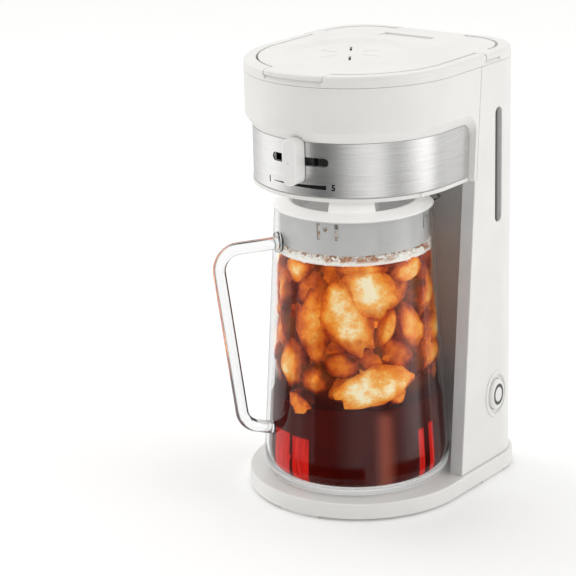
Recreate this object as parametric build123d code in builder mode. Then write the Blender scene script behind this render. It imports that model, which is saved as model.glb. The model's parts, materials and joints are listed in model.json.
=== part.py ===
from build123d import *

import os
from math import cos, radians, sin

# An iced tea maker. Millimetres, +Z up, the front faces -Y, the window and the button are on +X.
# The origin is under the middle of the whole object, on the surface that it stands on.

# ---- Driving dimensions ----------------------------------------------------------------
HEIGHT = 325.0                        # floor to the top of the lid
BODY_HALF = 81.0                      # half the width of head and column
BASE_HALF = 83.6                      # half the width of the base
PITCHER_Y = -8.6                      # the pitcher's axis; every other place in Y follows it
WALL = 2.5                            # moulded wall thickness

# Heights
FOOT_HIGH = 2.0
BASE_TOP = 13.5
FLOOR_LOW = 235.6                     # underside of the head
BAND_LOW = 238.2
BAND_TOP = 277.6
CHAMFER_TOP = 285.6
SEAM_Z = 317.0                        # top of the head and column shells
RING_TOP = HEIGHT                     # the ring is flush with the lid

# Plan outlines: a half-round front, straight sides, rounded rear corners
HEAD_ARC_Y = PITCHER_Y + 7.0
BODY_BACK = PITCHER_Y + 112.0
BODY_CORNER = 38.0
BASE_ARC_Y = PITCHER_Y + 4.0
BASE_BACK = PITCHER_Y + 113.5
LID_HALF = 71.0
LID_ARC_Y = PITCHER_Y + 8.0
LID_BACK = PITCHER_Y + 101.9
LID_CORNER = 32.0
NICHE_HALF = 70.5
NICHE_BACK = PITCHER_Y + 74.0
NICHE_CORNER = 35.0

# The seam between the head and the column leans back as it rises, and all faces beside it do too
SEAM_LOW_Y = PITCHER_Y + 21.0
SEAM_LEAN = 0.0793
COLUMN_STEP = 1.6                     # the column's edge below the head lies this far before it
SKIN = 0.9                            # what shows of the white shell outside the grey returns

# Steel band, its slot and the strength slider
BAND_INSET = 5.0                      # how far the band's face lies inside the head's face
BAND_THICK = 0.9
BAND_END = 3.9                        # from the seam forward to the end of the band's recess
BAND_CORNER = 9.0
BAND_GAP = 0.45                       # dark line above the band and at its ends
LOWER_GAP = 0.8                       # dark line between the band and the lip below it
COVE_END = 3.2                        # from the seam forward to the recess's outer edge
COVE_CORNER = 13.0
SLOT_Z = 263.4
SLOT_HALF_HIGH = 3.15
SLOT_HALF_ANGLE = 15.7                # to the centres of the slot's round ends, degrees
SLOT_MIDDLE = 1.6                     # the slot's middle is this far right of the front, degrees
KNOB_TURN = 2.2                       # where the knob rests, degrees right of the front
KNOB_WIDE = 11.4
KNOB_HIGH = 33.5
KNOB_Z = 264.2
KNOB_PROUD = 12.0

# Top lid
HINGE_Y = PITCHER_Y + 107.9
HINGE_Z = 320.8
BARREL_R = 3.6
BARREL_HALF = 29.5
LID_LOW = 321.6
LID_GAP = 1.8                         # open groove between lid and ring
TAB_ROOM = 0.55                       # room beside the tabs
FRONT_TAB_HALF = 25.0
SIDE_TAB_Y = PITCHER_Y + 59.7
SIDE_TAB_LONG = 16.4
SIDE_TAB_LOW = 320.8
DIMPLE_X = -10.5
DIMPLE_Y = PITCHER_Y + 14.0
DIMPLE_R = 47.5
DIMPLE_FLOOR_R = 38.8
DIMPLE_DEEP = 1.9
RAY_RING = 17.4                       # from the dimple's middle to the middle of each ray
RAY_LONG = 14.2
RAY_WIDE = 0.8
VENT_WIDE = 1.7
RAY_TURN = 34.0                       # how far the star of rays is turned from the front

# Power button and water window, both in the right side
BUTTON_Y = PITCHER_Y + 66.4
BUTTON_Z = 64.4
BEZEL_HIGH = 18.2                     # the button is an upright oval: half its height here
CAP_HIGH = 11.8
OVAL = 0.8                            # width of the oval over its height
WINDOW_Y = PITCHER_Y + 68.3
WINDOW_LOW = 198.0
WINDOW_HIGH = 284.0
WINDOW_HALF = 4.5

# Brewing parts
BASKET_TOP = 303.0
BASKET_LOW = 248.0
BASKET_R = 46.0
BASKET_LOW_R = 40.0
NOZZLE_R = 9.0
TANK_LOW = 86.0
TANK_STEP = 241.0                     # above this height the tank widens over the niche
TANK_TOP = 306.0
TANK_WALL = 2.0
TANK_GAP = 4.5                        # from the outer face of the shell to the tank
HEATER_Z = 26.0
HEATER_NEAR_Y = PITCHER_Y + 84.0
HEATER_FAR_Y = PITCHER_Y + 98.0
HOSE_X = -66.0
RISER_X = -8.0

# Pitcher
GLASS_LOW = BASE_TOP + 0.1
GLASS_RIM_Z = 216.9
GLASS_RIM_R = 57.6
GLASS_BELLY_R = 69.0
GLASS_BELLY_Z = 38.0
GLASS_FOOT_R = 63.0
GLASS_WALL = 2.4
HANDLE_TURN = 30.0                    # the handle points this far left of the front, degrees
SPOUT_TURN = 40.0                     # the spout points this far right of the back, degrees
HANDLE_R = 4.7
FLANGE_Z = 217.0
FLANGE_R = 58.4
FLANGE_EDGE = 218.3                   # the flange slopes up from its thin edge to the dish
FLANGE_TOP = 222.0
COLLAR_LOW = 192.6
COLLAR_R = 54.8
SADDLE_TURN = 34.0
SADDLE_WIDE = 37.5
SADDLE_TAPER = 9.0                    # its sides lean in, degrees
SADDLE_TOP = 231.0

os.makedirs("parts", exist_ok=True)


def save(piece, name):
    """Label a finished piece and write it under its own name."""
    piece.part.label = name
    export_step(piece.part, f"parts/{name}.step")


UP = (Align.CENTER, Align.CENTER, Align.MIN)
DOWN = (Align.CENTER, Align.CENTER, Align.MAX)


# ---- Shared outlines and helpers ----------------------------------------------------------
def stadium(half, arc_y, back_y, corner):
    """Plan outline with a half-round front, straight sides and rounded rear corners."""
    with BuildSketch() as outline:
        with BuildLine():
            CenterArc((0, arc_y), half, 180, 180)
            Line((half, arc_y), (half, back_y - corner))
            CenterArc((half - corner, back_y - corner), corner, 0, 90)
            Line((half - corner, back_y), (corner - half, back_y))
            CenterArc((corner - half, back_y - corner), corner, 90, 90)
            Line((-half, back_y - corner), (-half, arc_y))
        make_face()
    return outline.sketch


def body_plan(inset=0.0):
    return stadium(BODY_HALF - inset, HEAD_ARC_Y, BODY_BACK - inset, BODY_CORNER - inset)


def base_plan(inset=0.0):
    return stadium(BASE_HALF - inset, BASE_ARC_Y, BASE_BACK - inset, BODY_CORNER - inset)


def lid_plan(inset=0.0, back=LID_BACK):
    return stadium(LID_HALF - inset, LID_ARC_Y, back - inset, LID_CORNER - inset)


def niche_plan(grow=0.0):
    """The bay behind the pitcher: open to the front, rounded at the back."""
    half = NICHE_HALF + grow
    back = NICHE_BACK + grow
    corner = NICHE_CORNER + grow
    front = PITCHER_Y - 20.0
    with BuildSketch() as outline:
        with BuildLine():
            Polyline((-half, back - corner), (-half, front), (half, front), (half, back - corner))
            CenterArc((half - corner, back - corner), corner, 0, 90)
            Line((half - corner, back), (corner - half, back))
            CenterArc((corner - half, back - corner), corner, 90, 90)
        make_face()
    return outline.sketch


def arc_sector(inner, outer, half_angle, middle=0.0):
    """Flat arc about the centre of the head's round front; angles count from the front."""
    start = 270.0 + middle - half_angle
    with BuildSketch() as sector:
        with BuildLine():
            far = CenterArc((0, HEAD_ARC_Y), outer, start, 2 * half_angle)
            near = CenterArc((0, HEAD_ARC_Y), inner, start, 2 * half_angle)
            Line(far @ 0, near @ 0)
            Line(far @ 1, near @ 1)
        make_face()
    return sector.sketch


def radial_plane(angle, height, reach):
    """Plane that faces outward from the head's round front, at the given radius."""
    turn = radians(angle)
    outward = Vector(sin(turn), -cos(turn), 0)
    foot = Vector(0, HEAD_ARC_Y, height) + outward * reach
    return Plane(origin=foot, x_dir=(cos(turn), sin(turn), 0), z_dir=outward)


def seam_y(height):
    return SEAM_LOW_Y + SEAM_LEAN * (height - BASE_TOP)


def seam_space(side, gap=0.0, depth=300.0):
    """Everything in front of (side -1) or behind (side +1) the leaning seam plane."""
    low = seam_y(0) + side * gap
    high = seam_y(HEIGHT) + side * gap
    with BuildPart() as space:
        with BuildSketch(Plane.YZ):
            with BuildLine():
                Polyline(
                    (low, 0),
                    (high, HEIGHT),
                    (high + side * depth, HEIGHT),
                    (low + side * depth, 0),
                    close=True,
                )
            make_face()
        extrude(amount=2 * BODY_HALF, both=True)
    return space.part


def side_plane(reach):
    """Plane parallel to the right side, facing +X: its x is Y and its y is Z."""
    return Plane(origin=(reach, 0, 0), x_dir=(0, 1, 0), z_dir=(1, 0, 0))


# ---- Base ---------------------------------------------------------------------------------
BOSS_PLACES = [(-52, PITCHER_Y - 38), (52, PITCHER_Y - 38), (-56, PITCHER_Y + 66), (56, PITCHER_Y + 66)]
COVER_TOP = 4.0
BASE_ROOF = 2.5

with BuildPart() as base_shell:
    with BuildSketch(Plane.XY.offset(FOOT_HIGH)):
        add(base_plan())
    extrude(amount=BASE_TOP - FOOT_HIGH)
    fillet(base_shell.faces().sort_by(Axis.Z)[-1].edges(), radius=1.3)
    with BuildSketch(Plane.XY.offset(FOOT_HIGH)):
        add(base_plan(WALL))
    extrude(amount=BASE_TOP - BASE_ROOF - FOOT_HIGH, mode=Mode.SUBTRACT)
    with BuildSketch(Plane.XY.offset(COVER_TOP)):
        with Locations(*BOSS_PLACES):
            Circle(4.0)
    extrude(amount=BASE_TOP - BASE_ROOF - COVER_TOP)
    with BuildSketch(Plane.XY.offset(COVER_TOP)):
        with Locations(*BOSS_PLACES):
            Circle(1.7)
    extrude(amount=6.5, mode=Mode.SUBTRACT)
    with BuildSketch(Plane.XY.offset(BASE_TOP - BASE_ROOF)):
        with Locations((-24, PITCHER_Y + 104)):
            Rectangle(24, 7)
    extrude(amount=2 * BASE_ROOF, mode=Mode.SUBTRACT)
save(base_shell, "base_shell")

with BuildPart() as base_cover:
    with BuildSketch(Plane.XY.offset(FOOT_HIGH)):
        add(base_plan(WALL + 0.3))
        with Locations((0, PITCHER_Y + 88)):
            with GridLocations(9, 0, 9, 1):
                SlotOverall(18, 3.5, rotation=90, mode=Mode.SUBTRACT)
    extrude(amount=COVER_TOP - FOOT_HIGH - 0.1)
    with Locations(*[(x, y, FOOT_HIGH) for x, y in BOSS_PLACES]):
        Cylinder(1.9, 10, mode=Mode.SUBTRACT)
        Cone(3.5, 1.9, 1.6, align=UP, mode=Mode.SUBTRACT)
save(base_cover, "base_cover")

with BuildPart() as base_screws:
    with Locations(*[(x, y, FOOT_HIGH + 0.1) for x, y in BOSS_PLACES]):
        Cone(3.2, 1.6, 1.5, align=UP)
        Cylinder(1.6, 8.0, align=UP)
    with Locations(*[(x, y, FOOT_HIGH + 0.1) for x, y in BOSS_PLACES]):
        Box(3.6, 0.7, 1.2, mode=Mode.SUBTRACT)
        Box(0.7, 3.6, 1.2, mode=Mode.SUBTRACT)
save(base_screws, "base_screws")

FOOT_WIDE = 9.0
FRONT_FOOT_X = 3.2                    # middle of the front foot, right of the front
SIDE_FOOT_Y = PITCHER_Y + 58.0
with BuildPart() as base_feet:
    with BuildSketch(Plane.XY):
        add(base_plan(0.25))
        add(base_plan(FOOT_WIDE), mode=Mode.SUBTRACT)
        with BuildSketch(mode=Mode.INTERSECT):
            with Locations((FRONT_FOOT_X, BASE_ARC_Y - BASE_HALF)):
                Rectangle(32, 40)
            with Locations((0, BASE_BACK)):
                Rectangle(27, 40)
            with Locations((BASE_HALF, SIDE_FOOT_Y), (-BASE_HALF, SIDE_FOOT_Y)):
                Rectangle(40, 27)
    extrude(amount=FOOT_HIGH)
    chamfer(base_feet.faces().filter_by(Plane.XY).group_by(Axis.Z)[0].edges(), length=0.4)
save(base_feet, "base_feet")

# ---- Column -------------------------------------------------------------------------------
CORD_X = -44.0
CORD_Z = 26.0
CORD_HOLE_R = 5.6
CORD_BORE_R = 3.6
SEAM_GAP = 0.5

# the head takes up all that lies before the seam, from its underside up
with BuildPart() as head_side_space:
    add(seam_space(-1, gap=-SEAM_GAP))
    with Locations((0, 0, FLOOR_LOW - 0.2)):
        Box(400, 400, HEIGHT, align=UP, mode=Mode.INTERSECT)
head_side = head_side_space.part

# below the head, grey returns of the niche panel stand inside a thin skin of the shell
with BuildPart() as return_seat:
    with BuildSketch(Plane.XY.offset(BASE_TOP)):
        add(body_plan(SKIN))
    extrude(amount=FLOOR_LOW - BASE_TOP)
    add(seam_space(1, gap=-COLUMN_STEP, depth=WALL + 0.1), mode=Mode.INTERSECT)

with BuildPart() as column_shell:
    with BuildSketch(Plane.XY.offset(BASE_TOP)):
        add(body_plan())
        add(body_plan(WALL), mode=Mode.SUBTRACT)
    extrude(amount=SEAM_Z - BASE_TOP)
    add(seam_space(1, gap=-COLUMN_STEP), mode=Mode.INTERSECT)
    add(head_side, mode=Mode.SUBTRACT)
    add(return_seat.part, mode=Mode.SUBTRACT)
    # fine shadow line where the column stands on the base
    with BuildSketch(Plane.XY.offset(BASE_TOP)):
        add(body_plan(-1.0))
        add(body_plan(1.0), mode=Mode.SUBTRACT)
    extrude(amount=0.7, mode=Mode.SUBTRACT)
    with BuildSketch(side_plane(BODY_HALF - 2 * WALL)):
        with Locations((WINDOW_Y, (WINDOW_LOW + WINDOW_HIGH) / 2)):
            SlotOverall(WINDOW_HIGH - WINDOW_LOW, 2 * WINDOW_HALF, rotation=90)
        with Locations((BUTTON_Y, BUTTON_Z)):
            Ellipse(OVAL * CAP_HIGH + 1.1, CAP_HIGH + 1.1)
    extrude(amount=4 * WALL, mode=Mode.SUBTRACT)
    with BuildSketch(side_plane(BODY_HALF - 1.8)):
        with Locations((BUTTON_Y, BUTTON_Z)):
            Ellipse(OVAL * BEZEL_HIGH + 0.1, BEZEL_HIGH + 0.1)
    extrude(amount=4 * WALL, mode=Mode.SUBTRACT)
    with BuildSketch(Plane.XZ.offset(-BODY_BACK - 1)):
        with Locations((CORD_X, CORD_Z)):
            Circle(CORD_HOLE_R)
    extrude(amount=2 * WALL, mode=Mode.SUBTRACT)
save(column_shell, "column_shell")

with BuildPart() as niche_returns:
    with BuildSketch(Plane.XY.offset(BASE_TOP)):
        add(body_plan(SKIN + 0.1))
        add(niche_plan(), mode=Mode.SUBTRACT)
        with Locations((0, PITCHER_Y - 60)):
            Rectangle(200, 150, mode=Mode.SUBTRACT)
    extrude(amount=FLOOR_LOW - BASE_TOP - 0.1)
    add(seam_space(1, gap=-COLUMN_STEP, depth=WALL), mode=Mode.INTERSECT)

with BuildPart() as niche_panel:
    with BuildSketch(Plane.XY.offset(BASE_TOP)):
        add(niche_plan(WALL))
        add(niche_plan(), mode=Mode.SUBTRACT)
    extrude(amount=FLOOR_LOW - BASE_TOP - 0.1)
    add(seam_space(1, gap=-COLUMN_STEP), mode=Mode.INTERSECT)
    add(niche_returns.part)
save(niche_panel, "niche_panel")

# ---- Head ---------------------------------------------------------------------------------
BAND_OUTER = BODY_HALF - BAND_INSET
BAND_SEAT = BAND_OUTER - BAND_THICK - 0.05
LIP_PROUD = 0.6                       # how far the floor's lip stands out from the band
COVE_OUT = BODY_HALF + 0.2            # the cove runs a little past the head's face
HEAD_AXIS = Axis((0, HEAD_ARC_Y, 0), (0, 0, -1))
RECESS_LOW = FLOOR_LOW - 1.0


def end_outline(top, from_seam, corner):
    """Side view of what lies before the band's leaning rear end, below the given height."""
    low_end = seam_y(RECESS_LOW) - from_seam
    with BuildSketch() as outline:
        with BuildLine():
            FilletPolyline(
                (HEAD_ARC_Y, top), (seam_y(top) - from_seam, top), (low_end, RECESS_LOW), radius=corner
            )
            Polyline((low_end, RECESS_LOW), (HEAD_ARC_Y, RECESS_LOW), (HEAD_ARC_Y, top))
        make_face()
    return outline.sketch


# what is cut away round the steel band: its seat, the chamfer above it and the step at its ends
with BuildPart() as band_recess:
    with BuildSketch(Plane.XZ.offset(-HEAD_ARC_Y)):
        with BuildLine():
            Polyline(
                (BAND_SEAT, RECESS_LOW),
                (BAND_SEAT, BAND_TOP),
                (BAND_OUTER, BAND_TOP),
                (COVE_OUT, CHAMFER_TOP),
                (COVE_OUT + 4, CHAMFER_TOP),
                (COVE_OUT + 4, RECESS_LOW),
                close=True,
            )
        make_face()
    revolve(axis=HEAD_AXIS, revolution_arc=180)
    with BuildSketch(side_plane(BAND_SEAT)):
        add(end_outline(BAND_TOP, BAND_END, BAND_CORNER))
    extrude(amount=BAND_OUTER - BAND_SEAT)
    with BuildSketch(side_plane(BAND_OUTER)):
        add(end_outline(BAND_TOP, BAND_END, BAND_CORNER))
    with BuildSketch(side_plane(COVE_OUT)):
        add(end_outline(CHAMFER_TOP, COVE_END, COVE_CORNER))
    loft(ruled=True)
    mirror(about=Plane.YZ)

with BuildPart() as head_shell:
    with BuildSketch(Plane.XY.offset(FLOOR_LOW)):
        add(body_plan())
    extrude(amount=SEAM_Z - FLOOR_LOW)
    add(band_recess.part, mode=Mode.SUBTRACT)
    with BuildSketch(Plane.XY.offset(FLOOR_LOW)):
        add(body_plan(BAND_INSET + BAND_THICK + WALL))
    extrude(amount=CHAMFER_TOP + 3 - FLOOR_LOW, mode=Mode.SUBTRACT)
    with BuildSketch(Plane.XY.offset(CHAMFER_TOP + 3)):
        add(body_plan(WALL))
    extrude(amount=SEAM_Z, mode=Mode.SUBTRACT)
    # room for the floor under the band
    with BuildSketch(Plane.XY.offset(FLOOR_LOW)):
        add(body_plan(BAND_INSET - LIP_PROUD - 0.1))
        with Locations((0, PITCHER_Y + 34 - 100)):
            Rectangle(200, 200, mode=Mode.INTERSECT)
        add(niche_plan(WALL + 0.1))
    extrude(amount=BAND_LOW - FLOOR_LOW, mode=Mode.SUBTRACT)
    add(seam_space(-1), mode=Mode.INTERSECT)
    with BuildSketch(Plane.XY.offset(SLOT_Z - SLOT_HALF_HIGH - 0.3)):
        add(arc_sector(BAND_SEAT - 2 * WALL, BAND_OUTER, SLOT_HALF_ANGLE + 2.8, SLOT_MIDDLE))
    extrude(amount=2 * SLOT_HALF_HIGH + 0.6, mode=Mode.SUBTRACT)
save(head_shell, "head_shell")

with BuildPart() as steel_band:
    with BuildSketch(Plane.XY.offset(BAND_LOW + LOWER_GAP)):
        add(body_plan(BAND_INSET))
        add(body_plan(BAND_INSET + BAND_THICK), mode=Mode.SUBTRACT)
    extrude(amount=BAND_TOP - BAND_GAP - BAND_LOW - LOWER_GAP)
    with BuildSketch(Plane.YZ):
        add(end_outline(BAND_TOP - BAND_GAP, BAND_END + BAND_GAP, BAND_CORNER - BAND_GAP))
        with Locations((HEAD_ARC_Y - 100, BAND_TOP - BAND_GAP - 50)):
            Rectangle(200, 100)
    extrude(amount=BODY_HALF, both=True, mode=Mode.INTERSECT)
    with BuildSketch(Plane.XY.offset(SLOT_Z - SLOT_HALF_HIGH)):
        add(arc_sector(BAND_SEAT - 1, BAND_OUTER + 1, SLOT_HALF_ANGLE, SLOT_MIDDLE))
    extrude(amount=2 * SLOT_HALF_HIGH, mode=Mode.SUBTRACT)
    for side in (-1, 1):
        with BuildSketch(radial_plane(SLOT_MIDDLE + side * SLOT_HALF_ANGLE, SLOT_Z, BAND_SEAT - 1)):
            Circle(SLOT_HALF_HIGH)
        extrude(amount=BAND_THICK + 3, mode=Mode.SUBTRACT)
save(steel_band, "steel_band")

BASKET_SEAT_R = 15.0
BYPASS_R = 62.6
with BuildPart() as head_floor:
    with BuildSketch(Plane.XY.offset(FLOOR_LOW)):
        add(body_plan(BAND_INSET - LIP_PROUD))
        with Locations((0, PITCHER_Y + 34 + 150)):
            Rectangle(300, 300, mode=Mode.SUBTRACT)
        add(niche_plan(WALL))
    extrude(amount=BAND_LOW - FLOOR_LOW)
    with BuildSketch(Plane.XY.offset(BAND_LOW)):
        with Locations((0, PITCHER_Y)):
            Circle(BASKET_SEAT_R)
            with PolarLocations(0, 3):
                with Locations((25, 0)):
                    Rectangle(24, 2.0)
            Circle(NOZZLE_R + 2, mode=Mode.SUBTRACT)
    extrude(amount=BASKET_LOW - BAND_LOW - 0.1)
    with BuildSketch(Plane.XY.offset(FLOOR_LOW)):
        with Locations((0, PITCHER_Y)):
            Circle(NOZZLE_R + 2)
        for step in range(5):
            turn = radians(4 + 5 * step)
            with Locations((BYPASS_R * sin(turn), HEAD_ARC_Y - BYPASS_R * cos(turn))):
                Circle(1.8)
    extrude(amount=BAND_LOW - FLOOR_LOW, mode=Mode.SUBTRACT)
save(head_floor, "head_floor")

# ---- Ring and lid on top --------------------------------------------------------------------
RING_LOW = SEAM_Z + 0.25
RING_EDGE = 2.5                       # rounding of the ring's outer edge
GAP_FLOOR = RING_LOW + 1.6            # the groove round the lid is this deep
HINGE_ROOM = 0.9                      # more room behind the lid, for its rear edge to swing
LID_LEDGE = LID_LOW - 0.4
SCOOP_ANGLE = 17.5                    # half the width of the front scoop, degrees
SCOOP_SIDE = SIDE_TAB_LONG / 2 + 1.5

with BuildPart() as front_scoop:
    with BuildSketch(Plane.XZ.offset(-HEAD_ARC_Y)):
        with BuildLine():
            Polyline(
                (BODY_HALF + 0.3, LID_LEDGE + 0.2),
                (BODY_HALF - 2.1, LID_LEDGE + 0.2),
                (BODY_HALF + 0.3, RING_LOW + 0.6),
                close=True,
            )
        make_face()
    revolve(axis=HEAD_AXIS, revolution_arc=2 * SCOOP_ANGLE)
scoop_turn = Axis((0, HEAD_ARC_Y, 0), (0, 0, 1))
front_hollow = front_scoop.part.rotate(scoop_turn, SCOOP_ANGLE - 90)

with BuildPart() as top_ring:
    with BuildSketch(Plane.XY.offset(RING_LOW)):
        add(body_plan())
    extrude(amount=RING_TOP - RING_LOW)
    fillet(top_ring.faces().sort_by(Axis.Z)[-1].edges(), radius=RING_EDGE)
    with BuildSketch(Plane.XY.offset(SEAM_Z - 3)):
        add(body_plan(WALL + 0.3))
        add(body_plan(2 * WALL + 0.3), mode=Mode.SUBTRACT)
    extrude(amount=5)
    with BuildSketch(Plane.XY.offset(SEAM_Z - 5)):
        add(lid_plan(2.0))
    extrude(amount=20, mode=Mode.SUBTRACT)
    # open groove round the lid
    with BuildSketch(Plane.XY.offset(GAP_FLOOR)):
        add(lid_plan(-LID_GAP, LID_BACK + HINGE_ROOM))
        add(lid_plan(0.6), mode=Mode.SUBTRACT)
    extrude(amount=10, mode=Mode.SUBTRACT)
    # room for the lid and its four tabs
    with BuildSketch(Plane.XY.offset(LID_LEDGE)):
        add(lid_plan(-LID_GAP, LID_BACK + HINGE_ROOM))
        with Locations((0, PITCHER_Y - 70)):
            Rectangle(2 * (FRONT_TAB_HALF + TAB_ROOM), 80)
    extrude(amount=10, mode=Mode.SUBTRACT)
    with BuildSketch(Plane.XY.offset(SIDE_TAB_LOW - 0.4)):
        with Locations((0, SIDE_TAB_Y)):
            Rectangle(200, SIDE_TAB_LONG + 2 * TAB_ROOM)
    extrude(amount=10, mode=Mode.SUBTRACT)
    # finger scoops under the front tab and the side tabs
    add(front_hollow, mode=Mode.SUBTRACT)
    with BuildSketch(Plane.XZ.offset(-SIDE_TAB_Y - SCOOP_SIDE)):
        with BuildLine():
            Polyline(
                (BODY_HALF + 0.2, SIDE_TAB_LOW + 0.1),
                (BODY_HALF - 2.0, SIDE_TAB_LOW + 0.1),
                (BODY_HALF + 0.2, RING_LOW + 0.4),
                close=True,
            )
        make_face()
        mirror(about=Plane.YZ)
    extrude(amount=2 * SCOOP_SIDE, mode=Mode.SUBTRACT)
    with BuildSketch(Plane.XY.offset(SEAM_Z - 5)):
        with Locations((0, HINGE_Y + 2.5)):
            Rectangle(2 * (BARREL_HALF + TAB_ROOM), 17)
    extrude(amount=25, mode=Mode.SUBTRACT)
    with BuildSketch(side_plane(-40)):
        with Locations((HINGE_Y, HINGE_Z)):
            Circle(1.6)
    extrude(amount=80, mode=Mode.SUBTRACT)
save(top_ring, "top_ring")

with BuildPart() as hinge_pin:
    with BuildSketch(side_plane(-39)):
        with Locations((HINGE_Y, HINGE_Z)):
            Circle(1.5)
    extrude(amount=78)
    chamfer(hinge_pin.edges().filter_by(GeomType.CIRCLE), length=0.3)
save(hinge_pin, "hinge_pin")

SIDE_TAB_REACH = BODY_HALF + 0.5
SIDE_LIP = 1.8                        # thickness of the side tab's turned-down lip
with BuildPart() as front_tab:
    with BuildSketch(Plane.XY.offset(LID_LOW)):
        add(body_plan(0.3))
    extrude(amount=HEIGHT - LID_LOW)
    fillet(front_tab.faces().sort_by(Axis.Z)[-1].edges(), radius=2.0)
    with Locations((0, PITCHER_Y - 60, LID_LOW)):
        Box(2 * FRONT_TAB_HALF, 60, 10, align=UP, mode=Mode.INTERSECT)

with BuildPart() as lid:
    with BuildSketch(Plane.XY.offset(LID_LOW)):
        add(lid_plan())
        with Locations((0, SIDE_TAB_Y)):
            Rectangle(2 * SIDE_TAB_REACH, SIDE_TAB_LONG)
        with Locations((0, LID_BACK)):
            Rectangle(2 * BARREL_HALF, 12)
    extrude(amount=HEIGHT - LID_LOW)
    add(front_tab.part)
    # side tabs end in a short turned-down lip
    hook = SIDE_TAB_REACH - SIDE_LIP / 2
    with Locations((hook, SIDE_TAB_Y, SIDE_TAB_LOW), (-hook, SIDE_TAB_Y, SIDE_TAB_LOW)):
        Box(SIDE_LIP, SIDE_TAB_LONG, LID_LOW - SIDE_TAB_LOW + 1, align=UP)
    tab_edges = lid.edges().filter_by(Axis.Y).filter_by(lambda e: abs(e.center().X) > SIDE_TAB_REACH - 0.1)
    fillet(tab_edges.group_by(Axis.Z)[-1], radius=2.4)
    # hinge barrel
    with BuildSketch(side_plane(-BARREL_HALF)):
        with Locations((HINGE_Y, HINGE_Z)):
            Circle(BARREL_R)
    extrude(amount=2 * BARREL_HALF)
    with BuildSketch(side_plane(-BARREL_HALF)):
        with Locations((HINGE_Y, HINGE_Z)):
            Circle(1.6)
    extrude(amount=2 * BARREL_HALF, mode=Mode.SUBTRACT)
    # skirt that locates the lid in the ring
    with BuildSketch(Plane.XY.offset(LID_LOW - 3.6)):
        add(lid_plan(4.0))
        add(lid_plan(6.0), mode=Mode.SUBTRACT)
    extrude(amount=3.7)
    # round dimple with a star of rays, two of them open as vents
    with Locations((DIMPLE_X, DIMPLE_Y, HEIGHT)):
        Cone(DIMPLE_FLOOR_R, DIMPLE_R, DIMPLE_DEEP, align=DOWN, mode=Mode.SUBTRACT)
    for step in range(6):
        vent = step % 3 == 0
        turn = radians(RAY_TURN + 60 * step)
        middle = (DIMPLE_X + RAY_RING * sin(turn), DIMPLE_Y - RAY_RING * cos(turn))
        with BuildSketch(Plane.XY.offset(HEIGHT - DIMPLE_DEEP)):
            with Locations(Location((middle[0], middle[1], 0), (0, 0, RAY_TURN + 60 * step))):
                SlotOverall(RAY_LONG, VENT_WIDE if vent else RAY_WIDE, rotation=90)
        extrude(amount=-5.0 if vent else -0.7, mode=Mode.SUBTRACT)
    # finger pocket that ramps down to its rear wall
    with BuildSketch(side_plane(-28.3)):
        with BuildLine():
            Polyline(
                (PITCHER_Y + 72, HEIGHT + 0.01),
                (PITCHER_Y + 85.5, HEIGHT - 1.2),
                (PITCHER_Y + 85.5, HEIGHT + 0.01),
                close=True,
            )
        make_face()
    extrude(amount=43.8, mode=Mode.SUBTRACT)
save(lid, "lid")

# ---- Window and button --------------------------------------------------------------------
with BuildPart() as window_lens:
    with BuildSketch(side_plane(BODY_HALF - WALL - 1.7)):
        with Locations((WINDOW_Y, (WINDOW_LOW + WINDOW_HIGH) / 2)):
            SlotOverall(WINDOW_HIGH - WINDOW_LOW + 6, 2 * WINDOW_HALF + 5, rotation=90)
    extrude(amount=1.6)
    with BuildSketch(side_plane(BODY_HALF - WALL - 0.2)):
        with Locations((WINDOW_Y, (WINDOW_LOW + WINDOW_HIGH) / 2)):
            SlotOverall(WINDOW_HIGH - WINDOW_LOW - 0.4, 2 * WINDOW_HALF - 0.4, rotation=90)
    extrude(amount=1.6)
    fillet(window_lens.faces().sort_by(Axis.X)[-1].edges(), radius=1.2)
save(window_lens, "window_lens")

BUTTON_AT = (BUTTON_Y, BUTTON_Z)
CAP_FACE = BASE_HALF - 0.1
CAP_BACK = 76.0


def oval(high, grow=0.0):
    """Upright oval on the side, the button's outline."""
    with BuildSketch() as outline:
        with Locations(BUTTON_AT):
            Ellipse(OVAL * high + grow, high + grow)
    return outline.sketch


with BuildPart() as button_bezel:
    with BuildSketch(side_plane(BODY_HALF - 1.7)):
        add(oval(BEZEL_HIGH))
        add(oval(CAP_HIGH, 0.4), mode=Mode.SUBTRACT)
    extrude(amount=2.6)
    with BuildSketch(side_plane(BODY_HALF - 8)):
        add(oval(CAP_HIGH, 1.0))
        add(oval(CAP_HIGH, 0.4), mode=Mode.SUBTRACT)
    extrude(amount=7)
    bezel_rims = button_bezel.faces().sort_by(Axis.X)[-1].edges().sort_by(SortBy.LENGTH)
    fillet(bezel_rims[-1], radius=1.0)
    # the face is sunk inside the rim
    with BuildSketch(side_plane(BODY_HALF - 0.6)):
        add(oval(BEZEL_HIGH, -2.8))
    extrude(amount=5, mode=Mode.SUBTRACT)
save(button_bezel, "button_bezel")

with BuildPart() as button_cap:
    with BuildSketch(side_plane(CAP_BACK)):
        add(oval(CAP_HIGH))
    extrude(amount=CAP_FACE - CAP_BACK)
    fillet(button_cap.faces().sort_by(Axis.X)[-1].edges(), radius=2.3)
    with BuildSketch(side_plane(CAP_FACE - 1.3)):
        add(oval(8.3))
        add(oval(5.6), mode=Mode.SUBTRACT)
    extrude(amount=5, mode=Mode.SUBTRACT)
    with BuildSketch(side_plane(71.8)):
        with Locations(BUTTON_AT):
            Circle(2.4)
    extrude(amount=CAP_BACK - 71.7)
save(button_cap, "button_cap")

with BuildPart() as button_ring:
    with BuildSketch(side_plane(CAP_FACE - 1.25)):
        add(oval(8.2))
        add(oval(5.7), mode=Mode.SUBTRACT)
    extrude(amount=1.1)
save(button_ring, "button_ring")

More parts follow.
